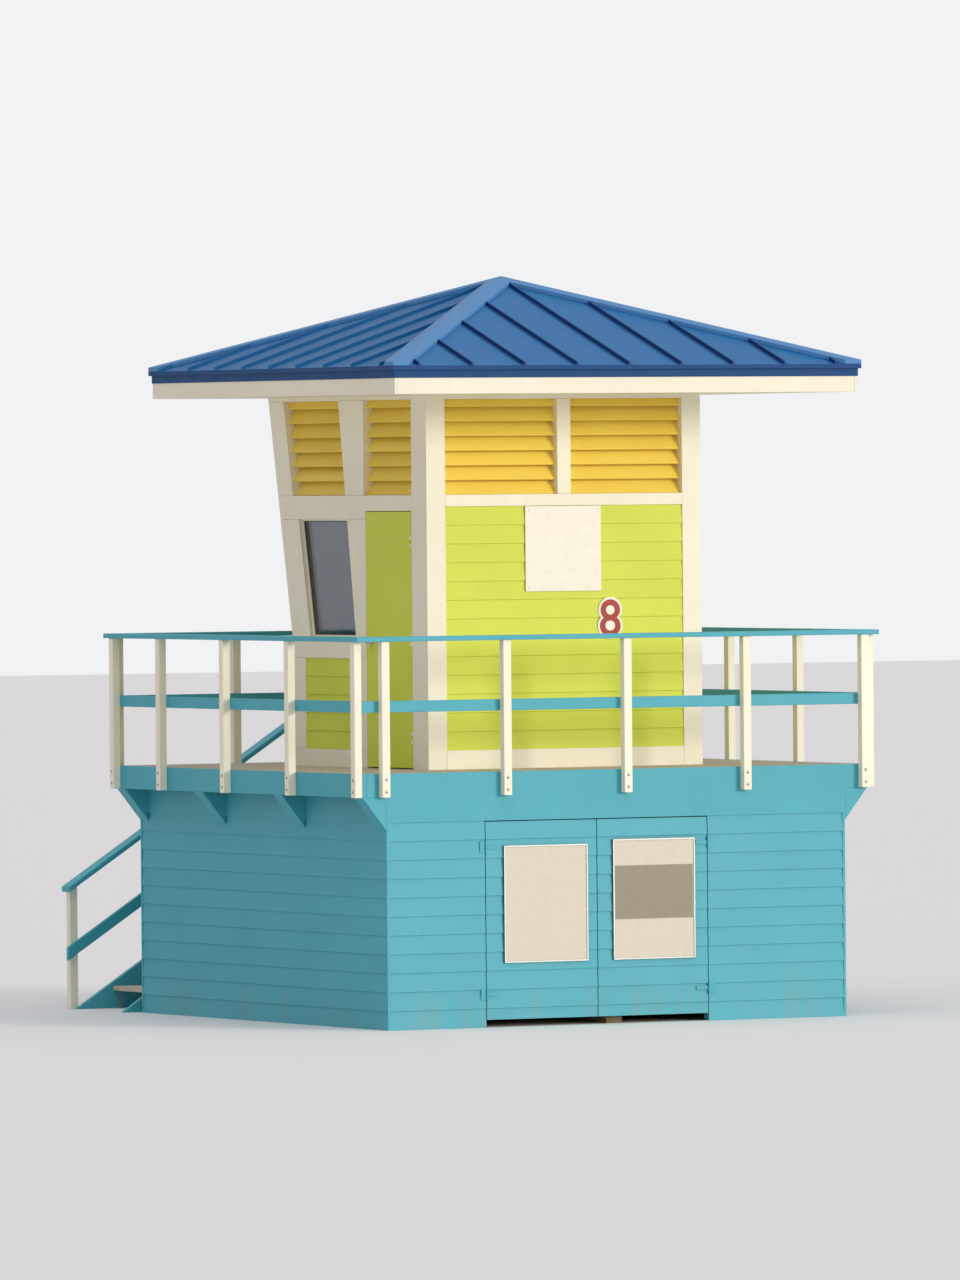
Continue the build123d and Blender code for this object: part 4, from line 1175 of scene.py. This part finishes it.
# Rivets along both flanks of the hip caps, at an offset from the hip along X or Y
RIVET_STEPS = 9
RIVET_START = 0.03
RIVET_OFFSET = 0.112
hip_low, hip_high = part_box("hip_caps")
roof_middle = (hip_low + hip_high) / 2
hip_reach = (hip_high.x - hip_low.x) / 2
rivets = []
for side_x in (1, -1):
    for side_y in (1, -1):
        for step in range(1, RIVET_STEPS):
            along = hip_reach * step / RIVET_STEPS + RIVET_START
            for near, slope_x, slope_y in ((RIVET_OFFSET, 1, 0), (-RIVET_OFFSET, 0, 1)):
                x, y = along + near / 2, along - near / 2
                height = hip_high.z - max(x, y) * math.tan(ROOF_PITCH)
                place = Vector((roof_middle.x + side_x * x, roof_middle.y + side_y * y, height))
                facing = Vector((slope_x * side_x, slope_y * side_y, 0)) * math.sin(ROOF_PITCH)
                facing.z = math.cos(ROOF_PITCH)
                rivets.append((place, facing))
add_heads("hip_rivets", rivets, HIP_RIVET, hip_highlight_sheet, slot="hip_cap_blue")

# Camera: at the height of the louvres, far off, from the land side
VIEW_AZIMUTH = math.radians(151.6)
VIEW_DISTANCE = 100.0
EYE_HEIGHT = 4.3
IMAGE_HEIGHT = 1280
PIXELS_PER_METRE = 125
ROLL = math.radians(0.49)
AIM = Vector((0.10, 0.05, 3.0))
SENSOR_WIDTH = 36

camera_data = bpy.data.cameras.new("camera")
camera = add_object("camera", camera_data)
away_x, away_y = math.sin(VIEW_AZIMUTH) * VIEW_DISTANCE, -math.cos(VIEW_AZIMUTH) * VIEW_DISTANCE
camera.location = AIM + Vector((away_x, away_y, EYE_HEIGHT - AIM.z))
look = (AIM - camera.location).to_track_quat("-Z", "Y")
camera.rotation_euler = (look.to_matrix().to_4x4() @ Matrix.Rotation(-ROLL, 4, "Z")).to_euler()
camera_data.sensor_width = SENSOR_WIDTH
camera_data.lens = SENSOR_WIDTH * PIXELS_PER_METRE * VIEW_DISTANCE / IMAGE_HEIGHT
camera_data.clip_end = 5 * VIEW_DISTANCE
scene.camera = camera

# Pale floor
FLOOR_REACH = 160
floor_corners = [
    (x * FLOOR_REACH, y * FLOOR_REACH, 0) for x, y in ((-1, -1), (1, -1), (1, 1), (-1, 1))
]
floor_mesh = bpy.data.meshes.new("floor")
floor_mesh.from_pydata(floor_corners, [], [(0, 1, 2, 3)])
floor = add_object("floor", floor_mesh)
floor_material, _, floor_shader, _ = start_material("pale_floor")
set_inputs(floor_shader, {"Base Color": linear("f4f3f0"), "Roughness": 0.9})
floor_mesh.materials.append(floor_material)
floor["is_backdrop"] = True

# A soft sky lights the object, and what the camera, glass and metal see of it is a pale backdrop
AMBIENT_STRENGTH = 0.49
world = bpy.data.worlds.new("soft_sky")
scene.world = world
world.use_nodes = True
sky = world.node_tree
ambient = sky.nodes["Background"]
set_inputs(ambient, {"Color": linear("f1effa"), "Strength": AMBIENT_STRENGTH})
backdrop = add_node(sky, "ShaderNodeBackground", {"Color": linear("f1f2f3"), "Strength": 1.0})
rays = add_node(sky, "ShaderNodeLightPath").outputs
direct = rays["Is Camera Ray"]
for ray in ("Is Glossy Ray", "Is Transmission Ray"):
    direct = add_node(sky, MATH, {0: direct, 1: rays[ray]}, operation="MAXIMUM")
shown = add_node(sky, "ShaderNodeMixShader", {0: direct, 1: ambient, 2: backdrop})
set_inputs(sky.nodes["World Output"], {"Surface": shown})


def soft_light(name, azimuth, elevation, energy, spread, code):
    """A broad soft lamp far off, in a direction in degrees."""
    lamp = bpy.data.lights.new(name, "SUN")
    lamp.energy = energy
    lamp.angle = math.radians(spread)
    lamp.color = linear(code)[:3]
    turn, lift = math.radians(azimuth), math.radians(elevation)
    level = math.cos(lift)
    source = Vector((math.sin(turn) * level, -math.cos(turn) * level, math.sin(lift)))
    add_object(name, lamp).rotation_euler = source.to_track_quat("Z", "Y").to_euler()


soft_light("key_light", azimuth=212, elevation=12, energy=1.6, spread=18, code="fffaf0")
soft_light("top_light", azimuth=150, elevation=66, energy=0.7, spread=60, code="ffffff")

scene.view_settings.view_transform = "Standard"

low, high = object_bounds()
{"cad": [list(cad_low), list(cad_high)], "visual": [list(low), list(high)]}
